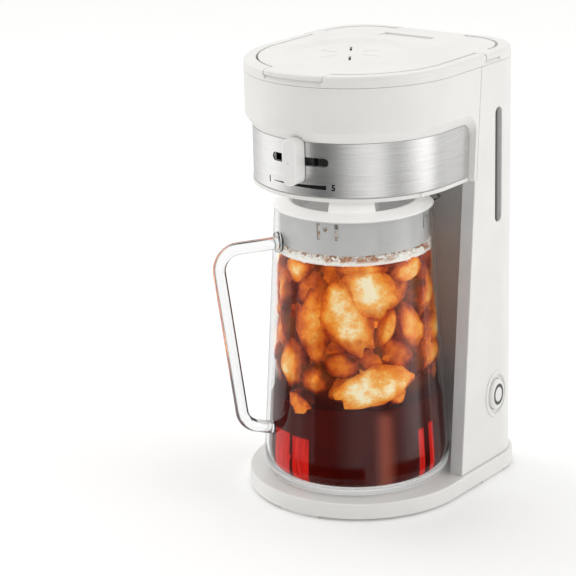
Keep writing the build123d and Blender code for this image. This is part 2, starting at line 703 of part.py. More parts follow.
with BuildPart() as switch_body:
    with BuildSketch(side_plane(66.6)):
        with Locations((BUTTON_Y + 5.5, BUTTON_Z)):
            RectangleRounded(10, 16, 1.0)
    extrude(amount=3.2)
save(switch_body, "switch_body")

with BuildPart() as button_spring:
    with BuildLine():
        coil = Helix(
            pitch=1.1,
            height=5.3,
            radius=4.4,
            center=(70.35, BUTTON_Y, BUTTON_Z),
            direction=(1, 0, 0),
        )
    with BuildSketch(Plane(origin=coil @ 0, z_dir=coil % 0)):
        Circle(0.35)
    sweep(is_frenet=True)
save(button_spring, "button_spring")

with BuildPart() as cord_bush:
    with BuildSketch(Plane.XZ.offset(-BASE_BACK)):
        with Locations((CORD_X, CORD_Z)):
            Circle(8.0)
    extrude(amount=BASE_BACK - BODY_BACK - 0.1)
    fillet(cord_bush.faces().sort_by(Axis.Y)[-1].edges(), radius=0.8)
    with BuildSketch(Plane.XZ.offset(-BODY_BACK - 0.2)):
        with Locations((CORD_X, CORD_Z)):
            Circle(CORD_HOLE_R - 0.1)
    extrude(amount=6)
    with BuildSketch(Plane.XZ.offset(-BASE_BACK - 1)):
        with Locations((CORD_X, CORD_Z)):
            Circle(CORD_BORE_R)
    extrude(amount=12, mode=Mode.SUBTRACT)
save(cord_bush, "cord_bush")

# ---- Strength slider ------------------------------------------------------------------------
CARRIER_OUT = BAND_OUTER - BAND_THICK - WALL - 0.35
KNOB_FOOT = BAND_OUTER + 0.5
CHAMFER_ROOM = 0.9                    # how far below the chamfer the knob stays
with BuildPart() as selector_knob:
    with BuildSketch(radial_plane(KNOB_TURN, KNOB_Z, KNOB_FOOT)):
        SlotOverall(KNOB_HIGH, KNOB_WIDE, rotation=90)
    extrude(amount=KNOB_PROUD)
    fillet(selector_knob.faces().sort_by(Axis.Y)[0].edges(), radius=1.6)
    with BuildSketch(radial_plane(KNOB_TURN, KNOB_Z, KNOB_FOOT + KNOB_PROUD - 0.5)):
        Circle(0.7)
    extrude(amount=2, mode=Mode.SUBTRACT)
    # its back is cut to clear the chamfer over the band
    with BuildSketch(Plane.XZ.offset(-HEAD_ARC_Y)):
        with BuildLine():
            Polyline(
                (BAND_SEAT, BAND_TOP - CHAMFER_ROOM),
                (BAND_OUTER, BAND_TOP - CHAMFER_ROOM),
                (COVE_OUT, CHAMFER_TOP - CHAMFER_ROOM),
                (BAND_SEAT, CHAMFER_TOP - CHAMFER_ROOM),
                close=True,
            )
        make_face()
    revolve(axis=HEAD_AXIS, revolution_arc=180, mode=Mode.SUBTRACT)
    with BuildSketch(radial_plane(KNOB_TURN, SLOT_Z, CARRIER_OUT + 0.1)):
        Rectangle(4.4, 5.0)
    extrude(amount=KNOB_FOOT + 0.1 - CARRIER_OUT)
save(selector_knob, "selector_knob")

with BuildPart() as selector_carrier:
    with BuildSketch(Plane.XY.offset(SLOT_Z - 7.2)):
        add(arc_sector(CARRIER_OUT - 6.9, CARRIER_OUT, 8, KNOB_TURN))
    extrude(amount=14.4)
save(selector_carrier, "selector_carrier")

GATE_OUT = CARRIER_OUT - 3.8
with BuildPart() as selector_gate:
    with BuildSketch(Plane.XY.offset(BAND_LOW + 0.7)):
        add(arc_sector(GATE_OUT - 11.6, GATE_OUT, 12, KNOB_TURN))
    extrude(amount=1.5)
    with BuildSketch(Plane.XY.offset(BAND_LOW + 2.2)):
        add(arc_sector(GATE_OUT - 3, GATE_OUT, 3, KNOB_TURN))
    extrude(amount=SLOT_Z - 7.3 - BAND_LOW - 2.2)
save(selector_gate, "selector_gate")

with BuildPart() as selector_guide:
    for low in (SLOT_Z - 11.2, SLOT_Z + 7.6):
        with BuildSketch(Plane.XY.offset(low)):
            add(arc_sector(GATE_OUT + 0.6, CARRIER_OUT + 0.25, 25.5, KNOB_TURN))
        extrude(amount=3.6)
save(selector_guide, "selector_guide")

# ---- Brew basket and drip valve -------------------------------------------------------------
NOZZLE_LOW = 233.2
with BuildPart() as brew_basket:
    with BuildSketch(Plane.XZ.offset(-PITCHER_Y)):
        with BuildLine():
            Polyline(
                (6.2, NOZZLE_LOW),
                (NOZZLE_R, NOZZLE_LOW),
                (NOZZLE_R, BASKET_LOW),
                (BASKET_LOW_R, BASKET_LOW),
                (BASKET_R, BASKET_TOP - 2.5),
                (BASKET_R + 4, BASKET_TOP - 2.5),
                (BASKET_R + 4, BASKET_TOP),
                (BASKET_R - 2, BASKET_TOP),
                (BASKET_LOW_R - 2, BASKET_LOW + 2.5),
                (6.2, BASKET_LOW + 2.5),
                close=True,
            )
        make_face()
    revolve(axis=Axis((0, PITCHER_Y, 0), (0, 0, 1)))
    # valve seat at the foot of the nozzle
    with BuildSketch(Plane.XY.offset(NOZZLE_LOW)):
        with Locations((0, PITCHER_Y)):
            Circle(6.4)
            Circle(3.4, mode=Mode.SUBTRACT)
    extrude(amount=1.6)
save(brew_basket, "brew_basket")

with BuildPart() as basket_filter:
    with BuildSketch(Plane.XZ.offset(-PITCHER_Y)):
        with BuildLine():
            Polyline(
                (0, BASKET_LOW + 6.0),
                (33, BASKET_LOW + 6.0),
                (BASKET_R - 4.5, BASKET_TOP - 3),
                (BASKET_R - 2.6, BASKET_TOP - 3),
                (BASKET_R - 2.6, BASKET_TOP - 1.5),
                (BASKET_R - 5.8, BASKET_TOP - 1.5),
                (32, BASKET_LOW + 7.0),
                (0, BASKET_LOW + 7.0),
                close=True,
            )
        make_face()
    revolve(axis=Axis((0, PITCHER_Y, 0), (0, 0, 1)))
save(basket_filter, "basket_filter")

SEAT_TOP = NOZZLE_LOW + 1.6
DISC_LOW = SEAT_TOP + 1.3
DISC_HIGH = 1.6
with BuildPart() as drip_valve:
    with Locations((0, PITCHER_Y, DISC_LOW)):
        Cylinder(5.4, DISC_HIGH, align=UP)
    with Locations((0, PITCHER_Y, NOZZLE_LOW - 1.0)):
        Cylinder(1.6, 12, align=UP)
save(drip_valve, "drip_valve")

with BuildPart() as valve_seal:
    with BuildSketch(Plane.XY.offset(SEAT_TOP + 0.1)):
        with Locations((0, PITCHER_Y)):
            Circle(5.2)
            Circle(3.6, mode=Mode.SUBTRACT)
    extrude(amount=DISC_LOW - SEAT_TOP - 0.1)
save(valve_seal, "valve_seal")

VALVE_CAP_LOW = BASKET_LOW + 1.5
with BuildPart() as valve_cap:
    with Locations((0, PITCHER_Y, VALVE_CAP_LOW)):
        Cylinder(6.1, 1.0, align=UP)
        Cylinder(2.2, 1.0, align=UP, mode=Mode.SUBTRACT)
    with BuildSketch(Plane.XY.offset(VALVE_CAP_LOW)):
        with Locations((0, PITCHER_Y)):
            with PolarLocations(4.1, 4):
                Circle(1.2)
    extrude(amount=1.0, mode=Mode.SUBTRACT)
save(valve_cap, "valve_cap")

with BuildPart() as valve_spring:
    with BuildLine():
        spring_low = DISC_LOW + DISC_HIGH + 0.45
        spring_high = VALVE_CAP_LOW - 0.45
        coil = Helix(
            pitch=1.9,
            height=spring_high - spring_low,
            radius=3.6,
            center=(0, PITCHER_Y, spring_low),
        )
    with BuildSketch(Plane(origin=coil @ 0, z_dir=coil % 0)):
        Circle(0.4)
    sweep(is_frenet=True)
save(valve_spring, "valve_spring")

# ---- Water path -----------------------------------------------------------------------------
RISER_R = 4.0
ARM_Z = 312.6
with BuildPart() as water_tank:
    with BuildSketch(Plane.XY.offset(TANK_LOW)):
        add(body_plan(TANK_GAP))
        add(niche_plan(WALL + 1.5), mode=Mode.SUBTRACT)
        with Locations((0, PITCHER_Y + 58 - 150)):
            Rectangle(300, 300, mode=Mode.SUBTRACT)
    extrude(amount=TANK_STEP - TANK_LOW + 1)
    with BuildSketch(Plane.XY.offset(TANK_STEP)):
        add(body_plan(TANK_GAP))
        with Locations((0, PITCHER_Y + 58 - 150)):
            Rectangle(300, 300, mode=Mode.SUBTRACT)
    extrude(amount=TANK_TOP - TANK_STEP)
    with BuildSketch(Plane.XY.offset(TANK_LOW + TANK_WALL)):
        add(body_plan(TANK_GAP + TANK_WALL))
        add(niche_plan(WALL + 1.5 + TANK_WALL), mode=Mode.SUBTRACT)
        with Locations((0, PITCHER_Y + 60 - 150)):
            Rectangle(300, 300, mode=Mode.SUBTRACT)
    extrude(amount=TANK_STEP - TANK_LOW, mode=Mode.SUBTRACT)
    with BuildSketch(Plane.XY.offset(TANK_STEP + TANK_WALL)):
        add(body_plan(TANK_GAP + TANK_WALL))
        with Locations((0, PITCHER_Y + 60 - 150)):
            Rectangle(300, 300, mode=Mode.SUBTRACT)
    extrude(amount=TANK_TOP - TANK_STEP, mode=Mode.SUBTRACT)
    # outlet nozzle, and the hole that the riser comes up through
    with Locations((HOSE_X, HEATER_NEAR_Y, TANK_LOW - 6)):
        Cylinder(4.2, 6.5, align=UP)
        Cylinder(2.6, 20, align=UP, mode=Mode.SUBTRACT)
    with Locations((RISER_X, HEATER_FAR_Y, TANK_LOW)):
        Cylinder(RISER_R + 1.2, 20, mode=Mode.SUBTRACT)
save(water_tank, "water_tank")

with BuildPart() as riser_grommet:
    with Locations((RISER_X, HEATER_FAR_Y, TANK_LOW - 1.5)):
        Cylinder(RISER_R + 3.0, 1.4, align=UP)
        Cylinder(RISER_R + 1.1, 4.6, align=UP)
        Cylinder(RISER_R + 0.1, 20, mode=Mode.SUBTRACT)
save(riser_grommet, "riser_grommet")

with BuildPart() as riser_tube:
    with BuildLine() as path:
        FilletPolyline(
            (RISER_X, HEATER_FAR_Y, 62),
            (RISER_X, HEATER_FAR_Y, ARM_Z),
            (RISER_X, PITCHER_Y + 50, ARM_Z),
            radius=8,
        )
    with BuildSketch(Plane.XY.offset(62)):
        with Locations((RISER_X, HEATER_FAR_Y)):
            Circle(RISER_R)
    sweep()
    with BuildSketch(Plane.XY.offset(62)):
        with Locations((RISER_X, HEATER_FAR_Y)):
            Circle(RISER_R - 1.4)
    sweep(path=path.line, mode=Mode.SUBTRACT)
save(riser_tube, "riser_tube")

with BuildPart() as spray_arm:
    with BuildLine() as path:
        FilletPolyline(
            (RISER_X, PITCHER_Y + 49.9, ARM_Z),
            (RISER_X, PITCHER_Y + 30, ARM_Z),
            (0, PITCHER_Y, ARM_Z),
            radius=12,
        )
    with BuildSketch(Plane(origin=path.line @ 0, z_dir=(0, -1, 0))):
        Circle(RISER_R - 0.4)
    sweep()
    with Locations((0, PITCHER_Y, 308.6)):
        Cylinder(7, 7, align=UP)
    with BuildSketch(Plane(origin=path.line @ 0, z_dir=(0, -1, 0))):
        Circle(RISER_R - 1.6)
    sweep(path=path.line, mode=Mode.SUBTRACT)
    with Locations((0, PITCHER_Y, 308.6)):
        Cylinder(RISER_R - 1.6, 4, align=UP, mode=Mode.SUBTRACT)
save(spray_arm, "spray_arm")

with BuildPart() as shower_head:
    with Locations((0, PITCHER_Y, 305.4)):
        Cylinder(28, 3.1, align=UP)
    with Locations((0, PITCHER_Y, 306.6)):
        Cylinder(26.5, 1.9, align=UP, mode=Mode.SUBTRACT)
    with BuildSketch(Plane.XY.offset(305.4)):
        with Locations((0, PITCHER_Y)):
            for ring, count in ((8, 6), (15, 10), (22, 14)):
                with PolarLocations(ring, count):
                    Circle(1.2)
    extrude(amount=1.2, mode=Mode.SUBTRACT)
    with BuildSketch(Plane.XY.offset(306.6)):
        with Locations((0, PITCHER_Y)):
            with PolarLocations(17.3, 3):
                Rectangle(19, 1.6)
    extrude(amount=1.9)
save(shower_head, "shower_head")

# ---- Heater --------------------------------------------------------------------------------
HEATER_R = 4.8
ROD_R = 3.4
HEATER_IN_X = -50.0
HEATER_TURN_X = 45.0
HEATER_OUT_X = 8.0
for name, height, radius, bore in (
    ("heater_tube", HEATER_Z, HEATER_R, 2.6),
    ("heater_rod", HEATER_Z - 8.3, ROD_R, 0),
):
    bend = (HEATER_FAR_Y - HEATER_NEAR_Y) / 2
    with BuildPart() as heater:
        with BuildLine() as path:
            near = Line((HEATER_IN_X, HEATER_NEAR_Y, height), (HEATER_TURN_X, HEATER_NEAR_Y, height))
            turn = JernArc(near @ 1, (1, 0, 0), bend, 180)
            Line(turn @ 1, (HEATER_OUT_X, HEATER_FAR_Y, height))
        with BuildSketch(Plane(origin=(HEATER_IN_X, HEATER_NEAR_Y, height), z_dir=(1, 0, 0))):
            Circle(radius)
        sweep()
        if bore:
            with BuildSketch(Plane(origin=(HEATER_IN_X, HEATER_NEAR_Y, height), z_dir=(1, 0, 0))):
                Circle(bore)
            sweep(path=path.line, mode=Mode.SUBTRACT)
    save(heater, name)

BRACKET_TOP = HEATER_Z + HEATER_R + 1.7
with BuildPart() as heater_bracket:
    with BuildSketch(side_plane(10)):
        with BuildLine():
            Polyline(
                (HEATER_NEAR_Y - 6.6, BASE_TOP),
                (HEATER_NEAR_Y - 6.6, BRACKET_TOP),
                (HEATER_FAR_Y + 6.6, BRACKET_TOP),
                (HEATER_FAR_Y + 6.6, BASE_TOP),
                (HEATER_FAR_Y + 5.1, BASE_TOP),
                (HEATER_FAR_Y + 5.1, BRACKET_TOP - 1.5),
                (HEATER_NEAR_Y - 5.1, BRACKET_TOP - 1.5),
                (HEATER_NEAR_Y - 5.1, BASE_TOP),
                close=True,
            )
        make_face()
    extrude(amount=40)
save(heater_bracket, "heater_bracket")

HEATER_MID_Y = (HEATER_NEAR_Y + HEATER_FAR_Y) / 2
with BuildPart() as thermostat:
    with Locations((20, HEATER_MID_Y, BRACKET_TOP)):
        Cylinder(8, 5, align=UP)
    with Locations((20, HEATER_MID_Y, BRACKET_TOP + 5)):
        Cylinder(5, 3, align=UP)
    with Locations((16, HEATER_MID_Y, BRACKET_TOP + 5), (24, HEATER_MID_Y, BRACKET_TOP + 5)):
        Box(0.8, 5, 9, align=UP)
save(thermostat, "thermostat")

with BuildPart() as thermal_fuse:
    with BuildSketch(side_plane(34)):
        with Locations((HEATER_MID_Y, BRACKET_TOP + 2.1)):
            Circle(2.0)
    extrude(amount=12)
    with BuildSketch(side_plane(29)):
        with Locations((HEATER_MID_Y, BRACKET_TOP + 2.1)):
            Circle(0.5)
    extrude(amount=22)
save(thermal_fuse, "thermal_fuse")

VALVE_TOP = TANK_LOW - 6.1
VALVE_LOW = VALVE_TOP - 16
with BuildPart() as check_valve:
    with Locations((HOSE_X, HEATER_NEAR_Y, VALVE_LOW)):
        Cylinder(6.2, 16, align=UP)
        Cylinder(2.0, 16, align=UP, mode=Mode.SUBTRACT)
    with Locations((HOSE_X, HEATER_NEAR_Y, VALVE_LOW + 4)):
        Cylinder(3.4, 7, align=UP, mode=Mode.SUBTRACT)
save(check_valve, "check_valve")

with BuildPart() as check_ball:
    with Locations((HOSE_X, HEATER_NEAR_Y, VALVE_LOW + 5.8)):
        Sphere(2.6)
save(check_ball, "check_ball")

HOSE_R = 5.0
for name, route, start in (
    (
        "inlet_hose",
        [
            (HOSE_X, HEATER_NEAR_Y, VALVE_LOW - 0.1),
            (HOSE_X, HEATER_NEAR_Y, HEATER_Z),
            (HEATER_IN_X - 0.1, HEATER_NEAR_Y, HEATER_Z),
        ],
        (0, 0, -1),
    ),
    (
        "outlet_hose",
        [
            (RISER_X, HEATER_FAR_Y, 61.9),
            (RISER_X, HEATER_FAR_Y, HEATER_Z),
            (HEATER_OUT_X - 0.1, HEATER_FAR_Y, HEATER_Z),
        ],
        (0, 0, -1),
    ),
):
    with BuildPart() as hose:
        with BuildLine() as path:
            FilletPolyline(*route, radius=10)
        with BuildSketch(Plane(origin=route[0], z_dir=start)):
            Circle(HOSE_R)
        sweep()
        with BuildSketch(Plane(origin=route[0], z_dir=start)):
            Circle(HOSE_R - 2.2)
        sweep(path=path.line, mode=Mode.SUBTRACT)
    save(hose, name)

# ---- Pitcher -------------------------------------------------------------------------------
PITCHER_AXIS = Axis((0, PITCHER_Y, 0), (0, 0, 1))


def glass_profile(inset, foot, rim):
    """Half section of the pitcher's body, for its outside or, with an inset, its inside."""
    with BuildSketch() as half:
        with BuildLine():
            low = Line((0, foot), (GLASS_FOOT_R - inset, foot))
            knee = (GLASS_BELLY_R - inset, GLASS_BELLY_Z)
            lean = (GLASS_BELLY_R - GLASS_RIM_R) / (GLASS_RIM_Z - GLASS_BELLY_Z)
            pull = 0.65 * (GLASS_BELLY_Z - foot)
            heel = (GLASS_BELLY_R - inset, foot)
            Bezier(low @ 1, heel, (knee[0] + lean * pull, knee[1] - pull), knee)
            top = Line(knee, (GLASS_RIM_R - inset, rim))
            Polyline(top @ 1, (0, rim), (0, foot))
        make_face()
    return half.sketch


SPOUT_REACH = 52.5
SPOUT_HIGH = 18.0
spout_dir = Vector(sin(radians(SPOUT_TURN)), cos(radians(SPOUT_TURN)), 0)
spout_foot = Vector(0, PITCHER_Y, GLASS_RIM_Z - SPOUT_HIGH) + spout_dir * SPOUT_REACH

with BuildPart() as glass_outside:
    with BuildSketch(Plane.XZ.offset(-PITCHER_Y)):
        add(glass_profile(0.0, GLASS_LOW, GLASS_RIM_Z))
    revolve(axis=PITCHER_AXIS)
    with Locations(spout_foot):
        Cone(1.0, 13.0, SPOUT_HIGH, align=UP)

with BuildPart() as pitcher_glass:
    add(glass_outside.part)
    with BuildSketch(Plane.XZ.offset(-PITCHER_Y)):
        add(glass_profile(GLASS_WALL, GLASS_LOW + 4.5, GLASS_RIM_Z + 0.01))
    revolve(axis=PITCHER_AXIS, mode=Mode.SUBTRACT)
    with Locations(spout_foot + Vector(0, 0, 2.5)):
        Cone(0.5, 11.0, SPOUT_HIGH - 2.49, align=UP, mode=Mode.SUBTRACT)
save(pitcher_glass, "pitcher_glass")

# the handle is a round bar in the upright plane through the pitcher's axis
handle_dir = Vector(-sin(radians(HANDLE_TURN)), -cos(radians(HANDLE_TURN)), 0)


def handle_point(reach, height):
    return Vector(0, PITCHER_Y, height) + handle_dir * reach


with BuildPart() as pitcher_handle:
    with BuildLine() as path:
        FilletPolyline(
            handle_point(52, 194.6),
            handle_point(107.8, 194.4),
            handle_point(90.9, 60.3),
            handle_point(60, 51.2),
            radius=15,
        )
    with BuildSketch(Plane(origin=path.line @ 0, z_dir=path.line % 0)):
        Circle(HANDLE_R)
    sweep()
    # round boss where the upper end meets the body
    with BuildSketch(Plane(origin=handle_point(55, 195.0), z_dir=handle_dir)):
        Circle(7.6)
    extrude(amount=6.2)
    add(glass_outside.part, mode=Mode.SUBTRACT)
save(pitcher_handle, "pitcher_handle")

DISH_R = 47.0
DISH_FLOOR = 209.0
saddle_dir = (sin(radians(SADDLE_TURN)), -cos(radians(SADDLE_TURN)), 0)
with BuildPart() as pitcher_lid:
    with BuildSketch(Plane.XZ.offset(-PITCHER_Y)):
        with BuildLine():
            Polyline(
                (0, DISH_FLOOR),
                (DISH_R - 6, DISH_FLOOR),
                (COLLAR_R - 2, FLANGE_Z - 2),
                (COLLAR_R - 2, COLLAR_LOW),
                (COLLAR_R, COLLAR_LOW),
                (COLLAR_R, FLANGE_Z),
                (FLANGE_R, FLANGE_Z),
                (FLANGE_R, FLANGE_EDGE),
                (DISH_R + 1.5, FLANGE_TOP),
                (DISH_R, FLANGE_TOP),
                (DISH_R - 7, DISH_FLOOR + 2),
                (0, DISH_FLOOR + 2),
                close=True,
            )
        make_face()
    revolve(axis=PITCHER_AXIS)
    rim_edges = pitcher_lid.edges().filter_by(GeomType.CIRCLE)
    rim_edges = rim_edges.filter_by(lambda e: e.radius > FLANGE_R - 0.1)
    fillet(rim_edges.group_by(Axis.Z)[-1], radius=0.6)
    # saddle across the dish, to grip and to catch the drips
    with BuildSketch(Plane(origin=(0, PITCHER_Y, DISH_FLOOR + 1), x_dir=saddle_dir, z_dir=(0, 0, 1))):
        Rectangle(2 * DISH_R + 2, SADDLE_WIDE)
        Circle(DISH_R + 0.6, mode=Mode.INTERSECT)
    extrude(amount=SADDLE_TOP - DISH_FLOOR - 1, taper=SADDLE_TAPER)
    with Locations((0, PITCHER_Y, SADDLE_TOP)):
        Cone(7.0, 13.5, 5.0, align=DOWN, mode=Mode.SUBTRACT)
    with Locations((0, PITCHER_Y, DISH_FLOOR - 1)):
        Cylinder(5.0, 40, align=UP, mode=Mode.SUBTRACT)
    # hollow under the saddle
    with BuildSketch(Plane(origin=(0, PITCHER_Y, DISH_FLOOR - 1), x_dir=saddle_dir, z_dir=(0, 0, 1))):
        Rectangle(2 * DISH_R - 16, SADDLE_WIDE - 11)
        Circle(17.5, mode=Mode.SUBTRACT)
    extrude(amount=SADDLE_TOP - DISH_FLOOR - 2.5, mode=Mode.SUBTRACT)
    # pour gap towards the spout: the flange is cut straight there
    gap_middle = Vector(0, PITCHER_Y, FLANGE_Z) + spout_dir * (COLLAR_R + 10.5)
    with BuildSketch(Plane(origin=gap_middle, x_dir=spout_dir, z_dir=(0, 0, 1))):
        Rectangle(20, 80)
    extrude(amount=10, mode=Mode.SUBTRACT)
    # locking slots in the collar
    for first in (8.8, 98.8, 188.8, 278.8):
        for slot_turn, round_hole in ((first, False), (first + 5.4, True), (first + 14, False)):
            turn = radians(slot_turn)
            outward = Vector(sin(turn), -cos(turn), 0)
            at = Vector(0, PITCHER_Y, 211.5 if round_hole else 209.5) + outward * (COLLAR_R - 4)
            with BuildSketch(Plane(origin=at, x_dir=(cos(turn), sin(turn), 0), z_dir=outward)):
                if round_hole:
                    Circle(1.7)
                else:
                    Rectangle(2.6, 12)
            extrude(amount=8, mode=Mode.SUBTRACT)
save(pitcher_lid, "pitcher_lid")
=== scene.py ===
import json
import math
import random

import bmesh
import bpy
from mathutils import Matrix, Vector, noise


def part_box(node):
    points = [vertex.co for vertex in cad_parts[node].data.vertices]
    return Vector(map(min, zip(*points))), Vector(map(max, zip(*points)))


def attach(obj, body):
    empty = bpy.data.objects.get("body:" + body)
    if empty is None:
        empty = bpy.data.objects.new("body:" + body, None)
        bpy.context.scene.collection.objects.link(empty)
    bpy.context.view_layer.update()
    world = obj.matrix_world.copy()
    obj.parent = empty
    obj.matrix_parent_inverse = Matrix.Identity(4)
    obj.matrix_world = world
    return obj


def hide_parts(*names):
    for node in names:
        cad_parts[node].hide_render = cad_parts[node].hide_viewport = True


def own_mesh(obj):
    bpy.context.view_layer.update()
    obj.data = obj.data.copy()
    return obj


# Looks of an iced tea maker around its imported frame. Metres, in the frame's own axes:
# +Z up, the front faces -Y, the water window and the button are on +X.
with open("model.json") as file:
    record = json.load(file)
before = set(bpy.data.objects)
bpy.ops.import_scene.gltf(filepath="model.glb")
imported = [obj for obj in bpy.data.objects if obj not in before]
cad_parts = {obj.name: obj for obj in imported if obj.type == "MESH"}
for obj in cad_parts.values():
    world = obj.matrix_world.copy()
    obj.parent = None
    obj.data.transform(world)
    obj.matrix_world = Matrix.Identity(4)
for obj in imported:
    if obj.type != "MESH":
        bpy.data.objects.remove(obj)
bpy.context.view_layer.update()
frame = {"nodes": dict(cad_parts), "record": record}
scene = bpy.context.scene
MM = 0.001


# ---- Places read from the frame ------------------------------------------------------------
def middle(node):
    low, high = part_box(node)
    return (low + high) / 2


def upright(x, y):
    return Vector((x, y, 0))


PITCHER_AXIS = upright(middle("drip_valve").x, middle("drip_valve").y)
BAND_LOW, BAND_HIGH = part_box("steel_band")
BAND_REACH = BAND_HIGH.x                      # radius of the band's round front
BAND_AXIS = upright(0, BAND_LOW.y + BAND_REACH)
GLASS_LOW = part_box("pitcher_glass")[0].z
COLLAR_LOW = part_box("pitcher_lid")[0].z

# The pitcher's inner wall: a round heel up to the belly, then a straight lean to the rim
WALL_FLOOR = GLASS_LOW + 4.5 * MM
FLOOR_REACH = 60.6 * MM
BELLY_REACH = 66.6 * MM
BELLY_HEIGHT = 38 * MM
WALL_LEAN = 0.0637                            # how much the wall comes in for each metre up


def wall_reach(height):
    """Radius of the pitcher's inner wall above its belly."""
    return BELLY_REACH - WALL_LEAN * (height - BELLY_HEIGHT)


def around(axis, turn, reach, height):
    """A point beside an upright axis. Turns are in degrees from the front towards +X."""
    angle = math.radians(turn)
    return axis + Vector((math.sin(angle) * reach, -math.cos(angle) * reach, height))


# ---- Shader maths ----------------------------------------------------------------------------
class Flow:
    """One output in a finish. Arithmetic on it adds Math nodes to the same finish."""

    def __init__(self, finish, socket):
        self.finish = finish
        self.socket = socket

    def math(self, operation, first, second):
        return self.finish.node("Math", {"operation": operation}, {0: first, 1: second})

    def __add__(self, other):
        return self.math("ADD", self, other)

    def __radd__(self, other):
        return self.math("ADD", other, self)

    def __sub__(self, other):
        return self.math("SUBTRACT", self, other)

    def __rsub__(self, other):
        return self.math("SUBTRACT", other, self)

    def __mul__(self, other):
        return self.math("MULTIPLY", self, other)

    def __rmul__(self, other):
        return self.math("MULTIPLY", other, self)

    def __pow__(self, other):
        return self.math("POWER", self, other)

    def at_least(self, other):
        return self.math("MAXIMUM", self, other)

    def at_most(self, other):
        return self.math("MINIMUM", self, other)

    def between(self, low, high, start=0.0, end=1.0):
        """Goes softly from start to end while the value goes from low to high."""
        ends = {"From Min": low, "From Max": high, "To Min": start, "To Max": end}
        return self.finish.node(
            "MapRange", {"interpolation_type": "SMOOTHSTEP"}, {"Value": self, **ends}
        )

    def within(self, low, high, soft):
        """1 while the value lies between low and high, softly 0 outside."""
        return self.between(low - soft, low + soft) * self.between(high + soft, high - soft)

    def spread(self):
        """Widens noise, which mostly runs from 0.3 to 0.7, to 0 to 1."""
        return self.between(0.3, 0.7)

    def sway(self, amount):
        """Noise as a small change up and down, of that amount for its full range."""
        return amount * (self - 0.5)


class Finish:
    """A material, or a world, and short ways to lay out its nodes."""

    def __init__(self, name, kinds=bpy.data.materials):
        self.holder = kinds.new(name)
        self.holder.use_nodes = True
        self.tree = self.holder.node_tree
        self.tree.nodes.clear()

    def node(self, kind, settings, sockets, output=""):
        """Adds a node: its settings first, then the values or links of its sockets."""
        made = self.tree.nodes.new("ShaderNode" + kind)
        for name, value in settings.items():
            if name == "stops":
                for stop, (place, colour) in zip(self.stops(made, len(value)), value):
                    stop.position = place
                    stop.color = (*colour, 1)
            else:
                setattr(made, name, value)
        for name, value in sockets.items():
            if isinstance(name, int):
                socket = made.inputs[name]
            else:
                socket = next(s for s in made.inputs if s.name == name and s.enabled)
            if isinstance(value, Flow):
                self.tree.links.new(value.socket, socket)
            elif socket.type == "RGBA" and len(value) == 3:
                socket.default_value = (*value, 1)
            else:
                socket.default_value = value
        given = [s for s in made.outputs if s.enabled and output in ("", s.name)]
        return Flow(self, given[0]) if given else None

    def stops(self, ramp, count):
        elements = ramp.color_ramp.elements
        for extra in range(count - len(elements)):
            elements.new((extra + 1) / count)
        return elements

    def place(self):
        """The point on the surface, in metres, in the frame's axes at rest."""
        return self.node("TexCoord", {}, {}, "Object")

    def stretched(self, vector, factors):
        return self.node("VectorMath", {"operation": "MULTIPLY"}, {0: vector, 1: factors})

    def parts(self, vector):
        return [self.node("SeparateXYZ", {}, {"Vector": vector}, axis) for axis in "XYZ"]

    def turn_of(self, x, y):
        """Turn in degrees from the front towards +X of a point beside an upright axis."""
        return self.node("Math", {"operation": "ARCTAN2"}, {0: x, 1: 0 - y}) * math.degrees(1)

    def grain(self, vector, size, detail=3.0, rough=0.5):
        """Soft noise whose lumps are about that size in metres, mostly from 0.3 to 0.7."""
        values = {"Vector": vector, "Scale": 1 / size, "Detail": detail, "Roughness": rough}
        return self.node("TexNoise", {}, values, "Fac")

    def cells(self, vector, size):
        """Distance inside little cells of that size."""
        return self.node(
            "TexVoronoi", {"feature": "F1"}, {"Vector": vector, "Scale": 1 / size}, "Distance"
        )

    def ramp(self, value, *stops):
        return self.node("ValToRGB", {"stops": stops}, {"Fac": value}, "Color")

    def blend(self, mask, first, second):
        """The first colour where the mask is 0, the second where it is 1."""
        values = {"Factor": mask, "A": first, "B": second}
        return self.node("Mix", {"data_type": "RGBA"}, values, "Result")

    def bump(self, height, depth, strength=1.0):
        values = {"Height": height, "Distance": depth, "Strength": strength}
        return self.node("Bump", {}, values)

    def surface(self, **values):
        """Ends the finish in one shader. Words of a socket's name are joined by _ here."""
        named = {name.replace("_", " "): value for name, value in values.items()}
        shader = self.node("BsdfPrincipled", {}, named)
        self.node("OutputMaterial", {}, {"Surface": shader})
        return self.holder


BLACK = (0.0, 0.0, 0.0)
WHITE = (1.0, 1.0, 1.0)


def tinted(colour, factor):
    return tuple(min(1.0, part * factor) for part in colour)


# ---- Finishes --------------------------------------------------------------------------------
def moulded(name, colour, roughness, grain_size=0.7 * MM, grain_depth=0.02 * MM):
    """Moulded plastic: a hint of flow in its tone and gloss over a fine even grain."""
    finish = Finish(name)
    place = finish.place()
    flow = finish.grain(place, 34 * MM, 4.0)
    smear = finish.grain(finish.stretched(place, (1.0, 1.0, 0.35)), 9 * MM, 2.0)
    pores = finish.grain(place, grain_size, 2.0)
    tone = finish.blend(flow.spread(), tinted(colour, 0.975), tinted(colour, 1.012))
    return finish.surface(
        Base_Color=tone,
        Roughness=roughness + smear.sway(0.10) + pores.sway(0.06),
        Specular_IOR_Level=0.5,
        Normal=finish.bump(pores, grain_depth, 0.5),
    )


def satin_white(name, roughness=0.34):
    return moulded(name, (0.842, 0.832, 0.805), roughness)


def gloss_white(name):
    return moulded(name, (0.872, 0.866, 0.848), 0.2, 1.2 * MM, 0.008 * MM)


